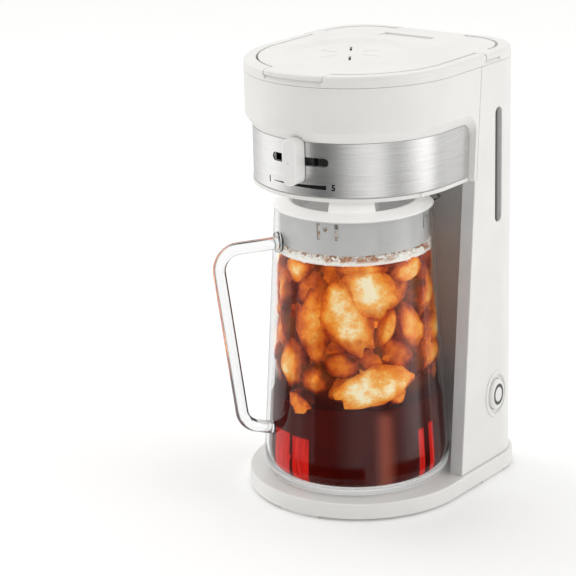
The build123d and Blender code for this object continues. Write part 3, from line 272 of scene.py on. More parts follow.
def matt_grey(name):
    """Spark-eroded grey: a clear coarse grain that takes the shine off, and a faint painted glow.
    """
    finish = Finish(name)
    place = finish.place()
    pits = finish.cells(place, 0.9 * MM)
    fine = finish.grain(place, 0.45 * MM, 3.0)
    flow = finish.grain(place, 30 * MM, 3.0)
    tone = finish.blend(flow.spread(), (0.56, 0.555, 0.55), (0.61, 0.605, 0.60))
    worn_tone_and_glow = finish.blend(pits.between(0.15, 0.6) * 0.35, tone, (0.68, 0.675, 0.67))
    return finish.surface(
        Base_Color=worn_tone_and_glow,
        Roughness=0.5 + fine.sway(0.14),
        Specular_IOR_Level=0.45,
        # painted glow: the grey gives off a little light of its own worn tone
        Emission_Color=worn_tone_and_glow,
        Emission_Strength=0.05,
        Normal=finish.bump(pits + 0.6 * fine, 0.05 * MM, 0.6),
    )


def brushed_steel(name):
    """Sheet steel brushed along its length: straight hair lines with a gloss that runs upright."""
    finish = Finish(name)
    place = finish.place()
    along = 1 / 160
    hairs = finish.grain(finish.stretched(place, (along, along, 1.0)), 0.16 * MM, 2.0, 0.6)
    lines = finish.grain(finish.stretched(place, (along, along, 1.0)), 0.55 * MM, 2.0, 0.6)
    streaks = finish.grain(finish.stretched(place, (0.02, 0.02, 1.0)), 3.2 * MM, 2.0)
    tone = finish.blend(hairs.between(0.3, 0.72), (0.66, 0.655, 0.65), (0.80, 0.795, 0.79))
    toned = finish.blend(streaks.spread() * 0.2, tone, (0.86, 0.855, 0.85))
    return finish.surface(
        Base_Color=toned,
        Metallic=1.0,
        Roughness=0.26 + lines.sway(0.08) + streaks.sway(0.05),
        Anisotropic=0.65,
        Normal=finish.bump(hairs + 0.5 * lines, 0.012 * MM, 0.5),
    )


def plain_steel(name, colour, roughness, grain_size):
    finish = Finish(name)
    place = finish.place()
    grain = finish.grain(place, grain_size, 4.0, 0.6)
    cloud = finish.grain(place, 12 * grain_size, 2.0)
    tone = finish.blend(cloud.spread(), tinted(colour, 0.85), tinted(colour, 1.1))
    return finish.surface(
        Base_Color=tone,
        Metallic=1.0,
        Roughness=roughness + grain.sway(0.15),
        Normal=finish.bump(grain, 0.03 * MM, 0.5),
    )


# the painted glow in the glass's foot is gone above the first height and full below the second
FOOT_CLEAR, FOOT_PALE = GLASS_LOW + 4 * MM, GLASS_LOW + 2 * MM
FOOT_GLOW = (0.20, 0.20, 0.198)               # painted glow standing for the light that gathers in the thick foot of the glass


def clear_glass(name, ior=1.47, shine=1.0):
    """Clear and polished, with the slight waviness of a pressed piece, and a painted glow in its
    thick foot.
    """
    finish = Finish(name)
    place = finish.place()
    wave = finish.grain(place, 24 * MM, 2.0)
    film = finish.grain(place, 7 * MM, 4.0)
    foot = finish.parts(place)[2].between(FOOT_CLEAR, FOOT_PALE)
    tone = finish.blend(film.between(0.35, 0.7), (0.985, 0.99, 0.99), (0.965, 0.975, 0.975))
    return finish.surface(
        Base_Color=tone,
        Roughness=film.between(0.45, 0.75, 0.0, 0.025),
        IOR=ior,
        Transmission_Weight=1.0,
        Specular_Tint=(shine, shine, shine),
        # painted glow in the thick foot of the glass
        Emission_Color=finish.blend(foot, BLACK, FOOT_GLOW),
        Emission_Strength=1.0,
        Normal=finish.bump(wave, 0.05 * MM, 0.35),
    )


def milky(name, colour, transmission, roughness):
    """Translucent plastic or silicone with a cloudy body."""
    finish = Finish(name)
    place = finish.place()
    cloud = finish.grain(place, 14 * MM, 4.0)
    pores = finish.grain(place, 0.8 * MM, 2.0)
    tone = finish.blend(cloud.spread(), tinted(colour, 0.96), tinted(colour, 1.03))
    return finish.surface(
        Base_Color=tone,
        Roughness=roughness + cloud.sway(0.12),
        IOR=1.45,
        Transmission_Weight=transmission,
        Normal=finish.bump(pores, 0.015 * MM, 0.5),
    )


RIM_LOW, RIM_HIGH = 217.5 * MM, 218.5 * MM    # the lid's rim starts between these heights
DISH_OUTER, DISH_INNER = 46 * MM, 44 * MM     # the edge between its rim and its dish
DISH_LOW, DISH_HIGH = 205 * MM, 210 * MM      # the dish is shaded above these heights


def lid_plastic(name):
    """Cloudy grey-white plastic. Its wide rim is painted paler as if lit and given a painted glow;
    its dish gets painted shade and a fainter painted glow.
    """
    finish = Finish(name)
    place = finish.place()
    x, y, z = finish.parts(place)
    out = y - PITCHER_AXIS.y
    reach = (x * x + out * out) ** 0.5
    rim = z.between(RIM_LOW, RIM_HIGH) * reach.between(DISH_INNER, DISH_OUTER)
    cloud = finish.grain(place, 14 * MM, 4.0)
    pores = finish.grain(place, 0.8 * MM, 2.0)
    body = finish.blend(cloud.spread(), (0.70, 0.695, 0.685), (0.74, 0.735, 0.725))
    # painted highlight: the rim is drawn as a paler, lit copy of the plastic
    lit_rim_tone = finish.blend(cloud.spread(), (0.90, 0.895, 0.885), (0.94, 0.935, 0.925))
    inside = reach.between(DISH_OUTER, DISH_INNER) * z.between(DISH_LOW, DISH_HIGH)
    shaded = finish.blend(inside, body, (0.45, 0.447, 0.44))
    # painted glow: strongest on the rim, fainter in the shaded dish
    painted_glow = 0.22 * rim + 0.12 * inside
    return finish.surface(
        Base_Color=finish.blend(rim, shaded, lit_rim_tone),
        Roughness=0.3 + cloud.sway(0.12),
        Emission_Color=finish.blend(painted_glow, BLACK, (1.0, 0.99, 0.975)),
        Emission_Strength=1.0,
        Normal=finish.bump(pores, 0.015 * MM, 0.5),
    )


def smoked(name):
    """Dark clear strip with painted shade and a painted reflection: nearly black at its front
    edge, pale grey towards the rear.
    """
    finish = Finish(name)
    place = finish.place()
    lens_low, lens_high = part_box("window_lens")
    side = finish.parts(place)[1].between(lens_low.y, lens_high.y)
    cloud = finish.grain(place, 8 * MM, 3.0)
    # painted shade at the front edge, turning to a painted reflection towards the rear
    depth = finish.ramp(
        side,
        (0.20, (0.004, 0.004, 0.004)),
        (0.36, (0.030, 0.029, 0.028)),
        (0.52, (0.16, 0.155, 0.15)),
        (0.80, (0.36, 0.355, 0.35)),
    )
    tone = finish.blend(cloud * 0.1, depth, (0.10, 0.095, 0.09))
    return finish.surface(
        Base_Color=tone, Roughness=0.12 + 0.05 * cloud, Specular_IOR_Level=0.35
    )


def rubber(name, colour, roughness=0.62):
    finish = Finish(name)
    place = finish.place()
    bloom = finish.grain(place, 5 * MM, 5.0)
    pores = finish.grain(place, 0.35 * MM, 2.0)
    tone = finish.blend(bloom.spread(), tinted(colour, 0.92), tinted(colour, 1.05))
    return finish.surface(
        Base_Color=tone,
        Roughness=roughness + bloom.sway(0.12),
        Normal=finish.bump(pores, 0.04 * MM, 0.6),
    )


THREAD_PITCH = 1.1 * MM
WAVE_UNIT = 0.314                             # length of one wave of a wave texture of scale 1


def nylon_mesh(name):
    """A woven filter: threads over and under each other, with dark holes between."""
    finish = Finish(name)
    place = finish.place()
    threads = []
    for turned in ("X", "Y"):
        wave = finish.node(
            "TexWave",
            {"bands_direction": turned, "wave_profile": "SIN"},
            {"Vector": place, "Scale": WAVE_UNIT / THREAD_PITCH, "Distortion": 0.0},
            "Fac",
        )
        threads.append(wave.between(0.35, 0.75))
    weave = threads[0].at_least(threads[1])
    wear = finish.grain(place, 6 * MM, 3.0)
    thread = finish.blend(wear.spread(), (0.58, 0.59, 0.58), (0.70, 0.71, 0.70))
    return finish.surface(
        Base_Color=finish.blend(weave, (0.10, 0.10, 0.10), thread),
        Roughness=0.55 - 0.1 * weave,
        Normal=finish.bump(weave, 0.2 * MM, 0.8),
    )


def cast_metal(name, colour):
    finish = Finish(name)
    place = finish.place()
    skin = finish.grain(place, 1.4 * MM, 5.0, 0.65)
    stain = finish.grain(place, 15 * MM, 4.0)
    tone = finish.blend(stain.between(0.35, 0.7), colour, tinted(colour, 0.72))
    return finish.surface(
        Base_Color=tone,
        Metallic=1.0,
        Roughness=0.46 + skin.sway(0.2),
        Normal=finish.bump(skin, 0.12 * MM, 0.6),
    )


def print_black(name):
    """Screen ink: nearly black, a little thin and open over the steel's grain."""
    finish = Finish(name)
    place = finish.place()
    specks = finish.grain(finish.stretched(place, (0.1, 0.1, 1.0)), 0.3 * MM, 3.0)
    tone = finish.blend(specks.between(0.4, 0.75), (0.003, 0.003, 0.003), (0.012, 0.012, 0.012))
    return finish.surface(
        Base_Color=tone, Roughness=0.5 + specks.sway(0.2), Specular_IOR_Level=0.12
    )


def wall_depth(finish, place):
    """How far under the pitcher's inner wall a point is, in millimetres."""
    x, y, z = finish.parts(place)
    out = y - PITCHER_AXIS.y
    reach = (x * x + out * out) ** 0.5
    wall = BELLY_REACH + WALL_LEAN * BELLY_HEIGHT - WALL_LEAN * z
    return (wall - reach) * (1 / MM)


def ice_in_tea(name):
    """Ice: cream in the middle, steeped amber to red at its rim and where it lies deeper, painted
    lighter where it faces up, with painted glints and a painted glow.
    """
    finish = Finish(name)
    place = finish.place()
    depth = wall_depth(finish, place)
    heart = finish.node("Attribute", {"attribute_name": "heart"}, {}, "Fac")
    steep = finish.node("Attribute", {"attribute_name": "steep"}, {}, "Fac")
    cloud = finish.grain(place, 11 * MM, 4.0, 0.55)
    crack = finish.grain(place, 1.6 * MM, 4.0, 0.7)
    painted_glint = finish.cells(place, 1.5 * MM)
    up = finish.parts(finish.node("NewGeometry", {}, {}, "Normal"))[2]
    # painted light: the up term draws faces turned up lighter and faces turned down darker
    soaked_and_top_lit = steep + 0.026 * depth + 0.52 * (1 - heart) - 0.10 * up
    soaked_and_top_lit = soaked_and_top_lit + cloud.sway(1.1) + crack.sway(0.45)
    tone = finish.ramp(
        soaked_and_top_lit * 0.95,
        (0.00, (0.96, 0.84, 0.57)),
        (0.10, (0.95, 0.65, 0.29)),
        (0.24, (0.92, 0.42, 0.075)),
        (0.42, (0.82, 0.23, 0.016)),
        (0.60, (0.62, 0.105, 0.006)),
        (0.78, (0.34, 0.030, 0.003)),
        (0.98, (0.10, 0.004, 0.001)),
    )
    # painted glints: small pale spots where the ice is least steeped
    tone_and_painted_glints = finish.blend(painted_glint.between(0.10, 0.04) * (1 - soaked_and_top_lit), tone, (1.0, 0.97, 0.88))
    return finish.surface(
        Base_Color=tone_and_painted_glints,
        Roughness=0.30 + crack.sway(0.2),
        Specular_IOR_Level=0.1,
        # painted glow of the ice's own colour
        Emission_Color=tone_and_painted_glints,
        Emission_Strength=0.28,
        Normal=finish.bump(crack + 2.0 * cloud, 0.5 * MM, 0.5),
    )


# Painted bars of light that comes through the tea: from and to in degrees round the pitcher, then
# from and to in height in mm
RED_BARS = (
    (-28.0, -12.4, 23, 55),
    (-9.8, 3.5, 19, 54),
    (78.0, 82.7, 21, 58),
    (87.8, 92.4, 17, 60),
    (124.0, 137.0, 22, 52),
    (171.0, 178.0, 19, 58),
    (-146.0, -133.0, 22, 55),
    (-92.0, -86.0, 18, 58),
)
BAR_SOFT_TURN, BAR_SOFT_HEIGHT = 0.35, 1.2    # how soft their edges are, in degrees and in mm
# Thin painted light lines in them: degrees and height in mm of the upper end, then degrees per mm
# up
LIGHT_LINES = ((-22.4, 36.7, 0.485), (-11.5, 38.3, 0.324))
LINE_HALF, LINE_TALL = 0.7, 17                # degrees to each side, and height in mm
# A painted reflection of upright window light on the tea: from, to and softness in degrees, then
# in mm of height
REFLECTION_TURNS = (50.5, 57.0, 6.0)
REFLECTION_HEIGHTS = (10, 74, 4.0)
GLOW_FROM, GLOW_TO = 82 * MM, 112 * MM        # the body's painted glow starts between these heights
AMBER_FROM, AMBER_TO = 84 * MM, 104 * MM      # the thin tea turns from dark to amber here
HAZE_FROM, HAZE_TO = 76 * MM, 96 * MM         # and from dense to clear here


def deep_tea(name):
    """The body of the tea: nearly black red, with painted upright bars of light, a painted
    reflection, and a painted glow.
    """
    finish = Finish(name)
    place = finish.place()
    x, y, z = finish.parts(place)
    turn = finish.turn_of(x, y - PITCHER_AXIS.y)
    height = z * (1 / MM)
    cloud = finish.grain(place, 22 * MM, 3.0)
    fine = finish.grain(finish.stretched(place, (1.0, 1.0, 0.1)), 2.5 * MM, 2.0)
    lit = 0.0
    for start, end, low, high in RED_BARS:
        upright_bar = turn.within(start, end, BAR_SOFT_TURN)
        lit = lit + upright_bar * height.within(low, high, BAR_SOFT_HEIGHT)
    for start, top, slope in LIGHT_LINES:
        shifted = turn - slope * height
        centre = start - slope * top
        leaning = shifted.within(centre - LINE_HALF, centre + LINE_HALF, 0.3)
        lit = lit + leaning * height.within(top - LINE_TALL, top, 1.0)
    plain = finish.blend(cloud.spread(), (0.045, 0.0022, 0.0012), (0.062, 0.0032, 0.0016))
    glow = finish.ramp(
        cloud,
        (0.38, (0.13, 0.006, 0.002)),
        (0.50, (0.50, 0.070, 0.005)),
        (0.62, (0.85, 0.24, 0.020)),
    )
    bar = finish.blend(fine.between(0.35, 0.65), (0.50, 0.010, 0.006), (0.66, 0.018, 0.012))
    # painted reflection: a soft paler upright band on the low tea
    painted_reflection_mask = turn.within(*REFLECTION_TURNS) * height.within(*REFLECTION_HEIGHTS)
    with_painted_reflection = finish.blend(painted_reflection_mask, plain, (0.34, 0.085, 0.055))
    low_part = finish.blend(lit.at_most(1.0), with_painted_reflection, bar)
    upper = z.between(GLOW_FROM, GLOW_TO)
    tone = finish.blend(upper, low_part, glow)
    return finish.surface(
        Base_Color=tone,
        Roughness=0.3 + cloud.sway(0.1),
        Specular_IOR_Level=0.0,
        # painted glow of the tea's own colour: faint low down, full in its upper part
        Emission_Color=finish.blend(0.25 + 0.75 * upper, BLACK, tone),
        Emission_Strength=0.8,
    )


def thin_tea(name):
    """Tea between the ice and the wall: see-through, more so in some places."""
    finish = Finish(name)
    place = finish.place()
    height = finish.parts(place)[2]
    cloud = finish.grain(place, 16 * MM, 3.0)
    amber = finish.blend(cloud.between(0.35, 0.65), (0.34, 0.035, 0.003), (0.78, 0.24, 0.022))
    tone = finish.blend(height.between(AMBER_TO, AMBER_FROM), amber, (0.055, 0.003, 0.0015))
    return finish.surface(
        Base_Color=tone,
        Roughness=0.3,
        Specular_IOR_Level=0.0,
        Alpha=height.between(HAZE_TO, HAZE_FROM, 0.16, 0.85) + cloud.sway(0.2),
    )


def foam(name):
    """Pale froth with a faint painted glow, and brown gaps in its upper half where it is thin."""
    finish = Finish(name)
    place = finish.place()
    cloud = finish.grain(place, 12 * MM, 3.0)
    upper = finish.parts(place)[2].between(TEA_TOP - 1.5 * MM, TEA_TOP + 1.5 * MM)
    bare = upper * cloud.between(0.50, 0.40)
    tone = finish.blend(bare, (0.98, 0.96, 0.91), (0.55, 0.27, 0.15))
    return finish.surface(
        Base_Color=tone,
        Roughness=0.22 + cloud.sway(0.1),
        # painted glow of the froth's own colour
        Emission_Color=tone,
        Emission_Strength=0.18,
    )


def floor_paper(name):
    finish = Finish(name)
    place = finish.place()
    fibre = finish.grain(place, 2 * MM, 4.0)
    wash = finish.grain(place, 400 * MM, 2.0)
    tone = finish.blend(wash.spread(), (0.925, 0.925, 0.925), (0.94, 0.94, 0.94))
    return finish.surface(
        Base_Color=tone,
        Roughness=0.75 + fibre.sway(0.1),
        Normal=finish.bump(fibre, 0.02 * MM),
        Emission_Color=WHITE,
        Emission_Strength=FLOOR_GLOW,
    )


def finish_frame():
    """Gives every node of the frame the finish of its slot."""
    milk = (0.85, 0.85, 0.83)
    by_slot = {
        "white_shell": satin_white("white_shell"),
        "white_base": satin_white("white_base", 0.36),
        "white_trim": satin_white("white_trim", 0.32),
        "white_lid": satin_white("white_lid", 0.32),
        "grey_panel": matt_grey("grey_panel"),
        "band_steel": brushed_steel("band_steel"),
        "knob_white": gloss_white("knob_white"),
        "button_white": gloss_white("button_white"),
        "bezel_white": satin_white("bezel_white", 0.28),
        "ring_dark": moulded("ring_dark", (0.10, 0.10, 0.10), 0.3),
        "window_smoke": smoked("window_smoke"),
        "pitcher_clear": clear_glass("pitcher_clear", shine=0.3),
        "handle_clear": clear_glass("handle_clear", 1.49),
        "pitcher_lid_grey": lid_plastic("pitcher_lid_grey"),
        "inner_white": moulded("inner_white", (0.80, 0.80, 0.78), 0.45),
        "tank_clear": milky("tank_clear", (0.86, 0.89, 0.90), 0.55, 0.3),
        "riser_milky": milky("riser_milky", milk, 0.25, 0.5),
        "filter_mesh": nylon_mesh("filter_mesh"),
        "spring_steel": plain_steel("spring_steel", (0.62, 0.62, 0.62), 0.22, 0.6 * MM),
        "pin_steel": plain_steel("pin_steel", (0.60, 0.60, 0.60), 0.3, 0.5 * MM),
        "screw_steel": plain_steel("screw_steel", (0.55, 0.56, 0.56), 0.34, 0.8 * MM),
        "feet_rubber": rubber("feet_rubber", (0.70, 0.69, 0.67)),
        "bush_rubber": rubber("bush_rubber", (0.76, 0.75, 0.73), 0.5),
        "seal_silicone": milky("seal_silicone", milk, 0.2, 0.5),
        "hose_silicone": milky("hose_silicone", milk, 0.3, 0.45),
        "check_valve_white": moulded("check_valve_white", (0.82, 0.82, 0.80), 0.4),
        "heater_aluminium": cast_metal("heater_aluminium", (0.62, 0.62, 0.62)),
        "heater_steel": plain_steel("heater_steel", (0.45, 0.42, 0.40), 0.4, 1.0 * MM),
        "switch_black": moulded("switch_black", (0.03, 0.03, 0.032), 0.42),
        "fuse_ceramic": moulded("fuse_ceramic", (0.84, 0.82, 0.76), 0.6, 0.5 * MM, 0.05 * MM),
    }
    for part in frame["record"]["subparts"]:
        for held in frame["nodes"][part["node"]].material_slots:
            held.material = by_slot[part["material_slot"]]


# ---- Mesh helpers ----------------------------------------------------------------------------
ROUND_STEPS = 96                              # points in one turn round the pitcher
HEEL_STEPS = 12
HEEL_PULL = 0.65                              # how far the heel's curve follows the leaning wall


def piece(name, mesh, finish, body):
    """A new piece from a mesh in the frame's axes, with its finish, slot and body."""
    made = bpy.data.objects.new(name, mesh)
    scene.collection.objects.link(made)
    mesh.materials.append(finish)
    for face in mesh.polygons:
        face.use_smooth = True
    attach(made, body)
    return made


def mesh_of(name, working):
    mesh = bpy.data.meshes.new(name)
    bmesh.ops.recalc_face_normals(working, faces=working.faces)
    working.to_mesh(mesh)
    working.free()
    return mesh


def turned_mesh(name, profile):
    """Turns a profile of (reach, height) points round the pitcher's axis."""
    working = bmesh.new()
    turns = [360 * step / ROUND_STEPS for step in range(ROUND_STEPS)]
    rings = []
    for reach, height in profile:
        if reach == 0:
            tip = working.verts.new(PITCHER_AXIS + Vector((0, 0, height)))
            rings.append([tip] * ROUND_STEPS)
        else:
            rings.append(
                [working.verts.new(around(PITCHER_AXIS, t, reach, height)) for t in turns]
            )
    for lower, upper in zip(rings, rings[1:]):
        for step in range(ROUND_STEPS):
            after = (step + 1) % ROUND_STEPS
            corners = [lower[step], lower[after], upper[after], upper[step]]
            working.faces.new(list(dict.fromkeys(corners)))
    return mesh_of(name, working)


def bezier(points, steps):
    """Points on the cubic curve that four control points give, without its first one."""
    curve = []
    for step in range(1, steps + 1):
        t = step / steps
        weights = ((1 - t) ** 3, 3 * t * (1 - t) ** 2, 3 * t * t * (1 - t), t**3)
        curve.append(tuple(sum(w * p[i] for w, p in zip(weights, points)) for i in (0, 1)))
    return curve


def wall_heel(gap):
    """The inner wall's floor and round heel, with a gap left between."""
    floor = WALL_FLOOR + gap
    reach = BELLY_REACH - gap
    pull = HEEL_PULL * (BELLY_HEIGHT - floor)
    knee = (reach, BELLY_HEIGHT)
    tangent = (reach + WALL_LEAN * pull, BELLY_HEIGHT - pull)
    start = (FLOOR_REACH - gap, floor)
    return [(0, floor), start] + bezier([start, (reach, floor), tangent, knee], HEEL_STEPS)


# ---- Tea, ice and foam in the pitcher --------------------------------------------------------
TEA_TOP = COLLAR_LOW - 4.8 * MM
TEA_GAP = 0.5 * MM                            # between the wall and the tea's body, low down
CORE_GAP = 15 * MM                            # and where the body has drawn back behind the ice
BODY_TOP = TEA_TOP - 2 * MM
# Heights at which the tea's body draws back from the wall, each with its gap there
DRAWN_BACK = ((72 * MM, TEA_GAP), (80 * MM, 4 * MM), (92 * MM, CORE_GAP))
THIN_GAP = 3.0 * MM                           # the thin tea lies this deep; ice reaches past it
THIN_LOW = 73 * MM


def add_tea():
    """The tea's dark body, and a thin skin of tea through which the ice shows."""
    profile = wall_heel(TEA_GAP)
    profile += [(wall_reach(height) - gap, height) for height, gap in DRAWN_BACK]
    profile += [(wall_reach(TEA_TOP) - CORE_GAP, BODY_TOP), (0, BODY_TOP)]
    piece("tea", turned_mesh("tea", profile), deep_tea("tea_body"), "pitcher")
    thin = [
        (wall_reach(DRAWN_BACK[0][0]) - THIN_GAP, THIN_LOW),
        (wall_reach(TEA_TOP) - THIN_GAP, TEA_TOP),
    ]
    skin = turned_mesh("tea_at_wall", thin)
    piece("tea_at_wall", skin, thin_tea("tea_at_wall"), "pitcher")


ICE_GAP = 0.45 * MM                           # between the ice and the wall
ICE_CUTS = 9                                  # cuts in each edge of the block a lump is made from
ROUNDED = 0.66                                # 0 a block, 1 a ball
COARSE_DENTS, FINE_DENTS = 0.30, 0.12         # share of the lump's size
COARSE_DENSITY, FINE_DENSITY = 1.1, 3.2       # dents in half a lump
SLIMMER = 0.42                                # how much thinner a lump is at its ends
HEART_EDGE = 2.4                              # how suddenly its pale heart ends


def ice_mesh(name, turn, height, wide, high, thick, tilt, bend, under, steep, seed):
    """A worn lump of ice: a rounded block, bent to a crescent, pitted, held in by the wall."""
    working = bmesh.new()
    heart = working.verts.layers.float.new("heart")
    steeped = working.verts.layers.float.new("steep")
    bmesh.ops.create_cube(working, size=2.0)
    bmesh.ops.subdivide_edges(working, edges=working.edges, cuts=ICE_CUTS, use_grid_fill=True)
    lean = math.radians(tilt)
    outward = around(Vector(), turn, 1.0, 0)
    along = Vector((math.cos(math.radians(turn)), math.sin(math.radians(turn)), 0))
    across = along * math.cos(lean) + Vector((0, 0, math.sin(lean)))
    rise = Vector((0, 0, math.cos(lean))) - along * math.sin(lean)
    centre = around(PITCHER_AXIS, turn, wall_reach(height) - 0.5 * thick - under, height)
    offset = Vector((seed * 7.3, seed * 3.1, seed * 5.7))
    for vert in working.verts:
        p = vert.co
        block = p / max(abs(p.x), abs(p.y), abs(p.z))
        ball = p.normalized()
        shape = block * (1 - ROUNDED) + ball * ROUNDED
        coarse = noise.noise(shape * COARSE_DENSITY + offset)
        fine = noise.noise(shape * FINE_DENSITY + offset * 2)
        shape = shape * (1 + COARSE_DENTS * coarse + FINE_DENTS * fine)
        slim = 1 - SLIMMER * min(1.0, shape.x * shape.x)
        shape = Vector((shape.x, shape.y * slim, shape.z * slim))
        vert[heart] = 1 - min(1.0, math.hypot(shape.x, shape.z / slim)) ** HEART_EDGE
        vert[steeped] = steep
        curl = bend * (shape.x * shape.x - 0.35)
        place = centre
        place = place + across * (shape.x * wide / 2)
        place = place + rise * ((shape.z + curl) * high / 2)
        place = place + outward * (shape.y * thick / 2)
        vert.co = held_in(place)
    return mesh_of(name, working)


def held_in(point):
    """Moves a point in from the pitcher's wall, and down to just above the tea."""
    offset = point - PITCHER_AXIS
    height = min(offset.z, TEA_TOP + 2 * MM)
    limit = wall_reach(height) - ICE_GAP
    scale = min(1.0, limit / math.hypot(offset.x, offset.y))
    return PITCHER_AXIS + Vector((offset.x * scale, offset.y * scale, height))


# The lumps that the photo shows: turn in degrees, then height, width and depth of the lump
# and its thickness in mm, its tilt in degrees, how far it curls, how deep in mm it lies under
# the wall, and how far it is steeped
SEEN_ICE = (
    (30, 145, 63, 32, 24, -70, 0.25, 0.5, 0.06),
    (48, 163, 46, 34, 24, -50, 0.10, 0.2, 0.00),
    (47, 94, 60, 31, 24, 12, -0.20, 0.3, 0.00),
    (5, 140, 72, 28, 20, 84, -0.15, 2.0, 0.30),
    (-13, 178, 26, 20, 16, 15, 0.0, 1.0, 0.18),
    (82, 134, 42, 25, 20, -62, 0.25, 1.0, 0.24),
    (82, 177, 28, 19, 16, 12, 0.0, 0.5, 0.14),
    (60, 137, 30, 13, 14, 66, 0.30, 1.5, 0.22),
    (24, 110, 26, 21, 16, -10, 0.0, 3.0, 0.38),
    (-18, 104, 36, 20, 16, 82, 0.15, 0.5, 0.16),
    (-6, 76, 29, 20, 16, -28, 0.15, 0.5, 0.34),
    (68, 114, 42, 27, 18, -50, 0.10, 5.0, 0.50),
    (4, 97, 28, 22, 16, -20, 0.0, 4.0, 0.46),
    (42, 181, 40, 14, 16, -4, 0.0, 2.5, 0.22),
    (14, 176, 30, 20, 16, 30, 0.1, 5.0, 0.42),
    (55, 115, 36, 24, 16, 10, 0.1, 6.0, 0.44),
    (65, 86, 16, 12, 10, 15, 0.0, 1.0, 0.40),
    (-38, 158, 34, 22, 18, 60, 0.1, 2.0, 0.26),
    (-40, 125, 36, 24, 18, -50, 0.2, 3.0, 0.36),
    (-3, 165, 40, 24, 18, 60, 0.1, 5.0, 0.44),
    (102, 155, 38, 24, 18, 60, 0.1, 1.0, 0.30),
    (100, 112, 36, 22, 18, 70, 0.1, 1.0, 0.34),
    (66, 160, 38, 26, 18, 40, 0.1, 5.0, 0.46),
    (17, 122, 36, 22, 18, 60, 0.1, 7.0, 0.50),
)


# The rest, on the side that the photo doesn't show, in rows: heights in mm, turns in degrees
ICE_ROWS, ROW_LOW, ROW_APART = 6, 92, 17
ROW_LUMPS, FIRST_TURN, TURN_APART, LAST_TURN = 8, 122, 27, 310
ROW_SHIFT = 13                                # every other row is turned this far


def add_ice():
    frosted = ice_in_tea("ice_in_tea")
    dice = random.Random(7)
    lumps = list(SEEN_ICE)
    for row in range(ICE_ROWS):
        height = ROW_LOW + ROW_APART * row
        for step in range(ROW_LUMPS):
            turn = FIRST_TURN + TURN_APART * step + ROW_SHIFT * (row % 2) + dice.uniform(-5, 5)
            if turn > LAST_TURN:
                continue
            wide = dice.uniform(26, 46)
            high = dice.uniform(19, 28)
            thick = dice.uniform(15, 21)
            tilt = dice.uniform(-80, 80)
            bend = dice.choice((0.0, 0.2, 0.3))
            under = dice.choice((0.4, 1.5, 4.0))
            steep = 0.05 + 0.08 * under + dice.uniform(0, 0.15)
            up = height + dice.uniform(-4, 4)
            lumps.append((turn, up, wide, high, thick, tilt, bend, under, steep))
    for count, lump_sizes in enumerate(lumps, 1):
        turn, height, wide, high, thick, tilt, bend, under, steep = lump_sizes
        name = f"ice_{count:02d}"
        sizes = (height * MM, wide * MM, high * MM, thick * MM)
        mesh = ice_mesh(name, turn, *sizes, tilt, bend, under * MM, steep, count)
        piece(name, mesh, frosted, "pitcher")


def bubble_points(detail):
    """Points and faces of one round bubble."""
    working = bmesh.new()
    bmesh.ops.create_icosphere(working, subdivisions=detail, radius=1.0)
    points = [vert.co.copy() for vert in working.verts]
    faces = [[vert.index for vert in face.verts] for face in working.faces]
    working.free()
    return points, faces


BUBBLES = 2600
BUBBLE_GAP = 0.4 * MM                         # to the wall, and to the lid's collar
BUBBLE_SMALLEST, BUBBLE_LARGEST = 0.35, 1.3   # radius in mm
SMOOTH_FROM = 0.9 * MM                        # larger bubbles are given more faces
FOAM_REACH = 42 * MM                          # how far in from the wall bubbles lie
FOAM_CROWDING = 2.6                           # how closely they keep to the wall
FOAM_FLATTENS = 50 * MM                       # this far in, the foam would have no height
FOAM_LIFT = 4.0                               # highest bubble over the tea in mm
FOAM_DIP, FROTH_DIP = 0.8, 2.4                # lowest bubble in mm, and lower where it froths
BED_DEEP, BED_HIGH = 2.5 * MM, 0.8 * MM       # the foam's bed under and over the tea's top


def add_foam():
    """Bubbles on top of the tea, thickest against the wall."""
    dice = random.Random(11)
    small, large = bubble_points(1), bubble_points(2)
    points = []
    faces = []
    for _ in range(BUBBLES):
        turn = dice.uniform(0, 360)
        inward = FOAM_REACH * dice.random() ** FOAM_CROWDING
        radius = dice.uniform(BUBBLE_SMALLEST, BUBBLE_LARGEST) * MM
        froth = 0.5 + noise.noise(around(Vector(), turn, 3.0, 0))
        lift = dice.uniform(-FOAM_DIP - FROTH_DIP * froth, FOAM_LIFT) * MM
        height = TEA_TOP + lift * (1 - inward / FOAM_FLATTENS)
        reach = wall_reach(height) - radius - BUBBLE_GAP - inward
        if height + radius > COLLAR_LOW - BUBBLE_GAP:
            continue
        centre = around(PITCHER_AXIS, turn, reach, height)
        bubble, sides = large if radius > SMOOTH_FROM else small
        first = len(points)
        points += [centre + point * radius for point in bubble]
        faces += [[first + index for index in side] for side in sides]
    mesh = bpy.data.meshes.new("foam_bubbles")
    mesh.from_pydata(points, [], faces)
    bubbly = foam("tea_foam")
    piece("foam_bubbles", mesh, bubbly, "pitcher")
    edge = wall_reach(TEA_TOP) - 1.2 * MM
    bed = [
        (0, TEA_TOP - BED_DEEP),
        (edge, TEA_TOP - BED_DEEP),
        (edge + 0.4 * MM, TEA_TOP - BED_HIGH),
        (edge, TEA_TOP + BED_HIGH),
        (0, TEA_TOP + BED_HIGH),
    ]
    piece("foam_bed", turned_mesh("foam_bed", bed), bubbly, "pitcher")


# ---- Springs -----------------------------------------------------------------------------------
def add_spring(node, joint, axis):
    """Stands for a coil spring of the frame with a copy of its mesh."""
    low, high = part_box(node)
    length = (high - low).dot(Vector(axis))
    moves = next(j for j in frame["record"]["behaviour"]["joints"] if j["name"] == joint)
    coil = bpy.data.objects.new(f"{node}_coil", frame["nodes"][node].data.copy())
    scene.collection.objects.link(coil)
    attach(coil, "machine")
    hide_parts(node)
    keep = 1 - moves["range_m"][1] / length
    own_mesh(coil)


def add_springs():
    add_spring("button_spring", "button_press", (1, 0, 0))
    add_spring("valve_spring", "drip_stop_lift", (0, 0, 1))


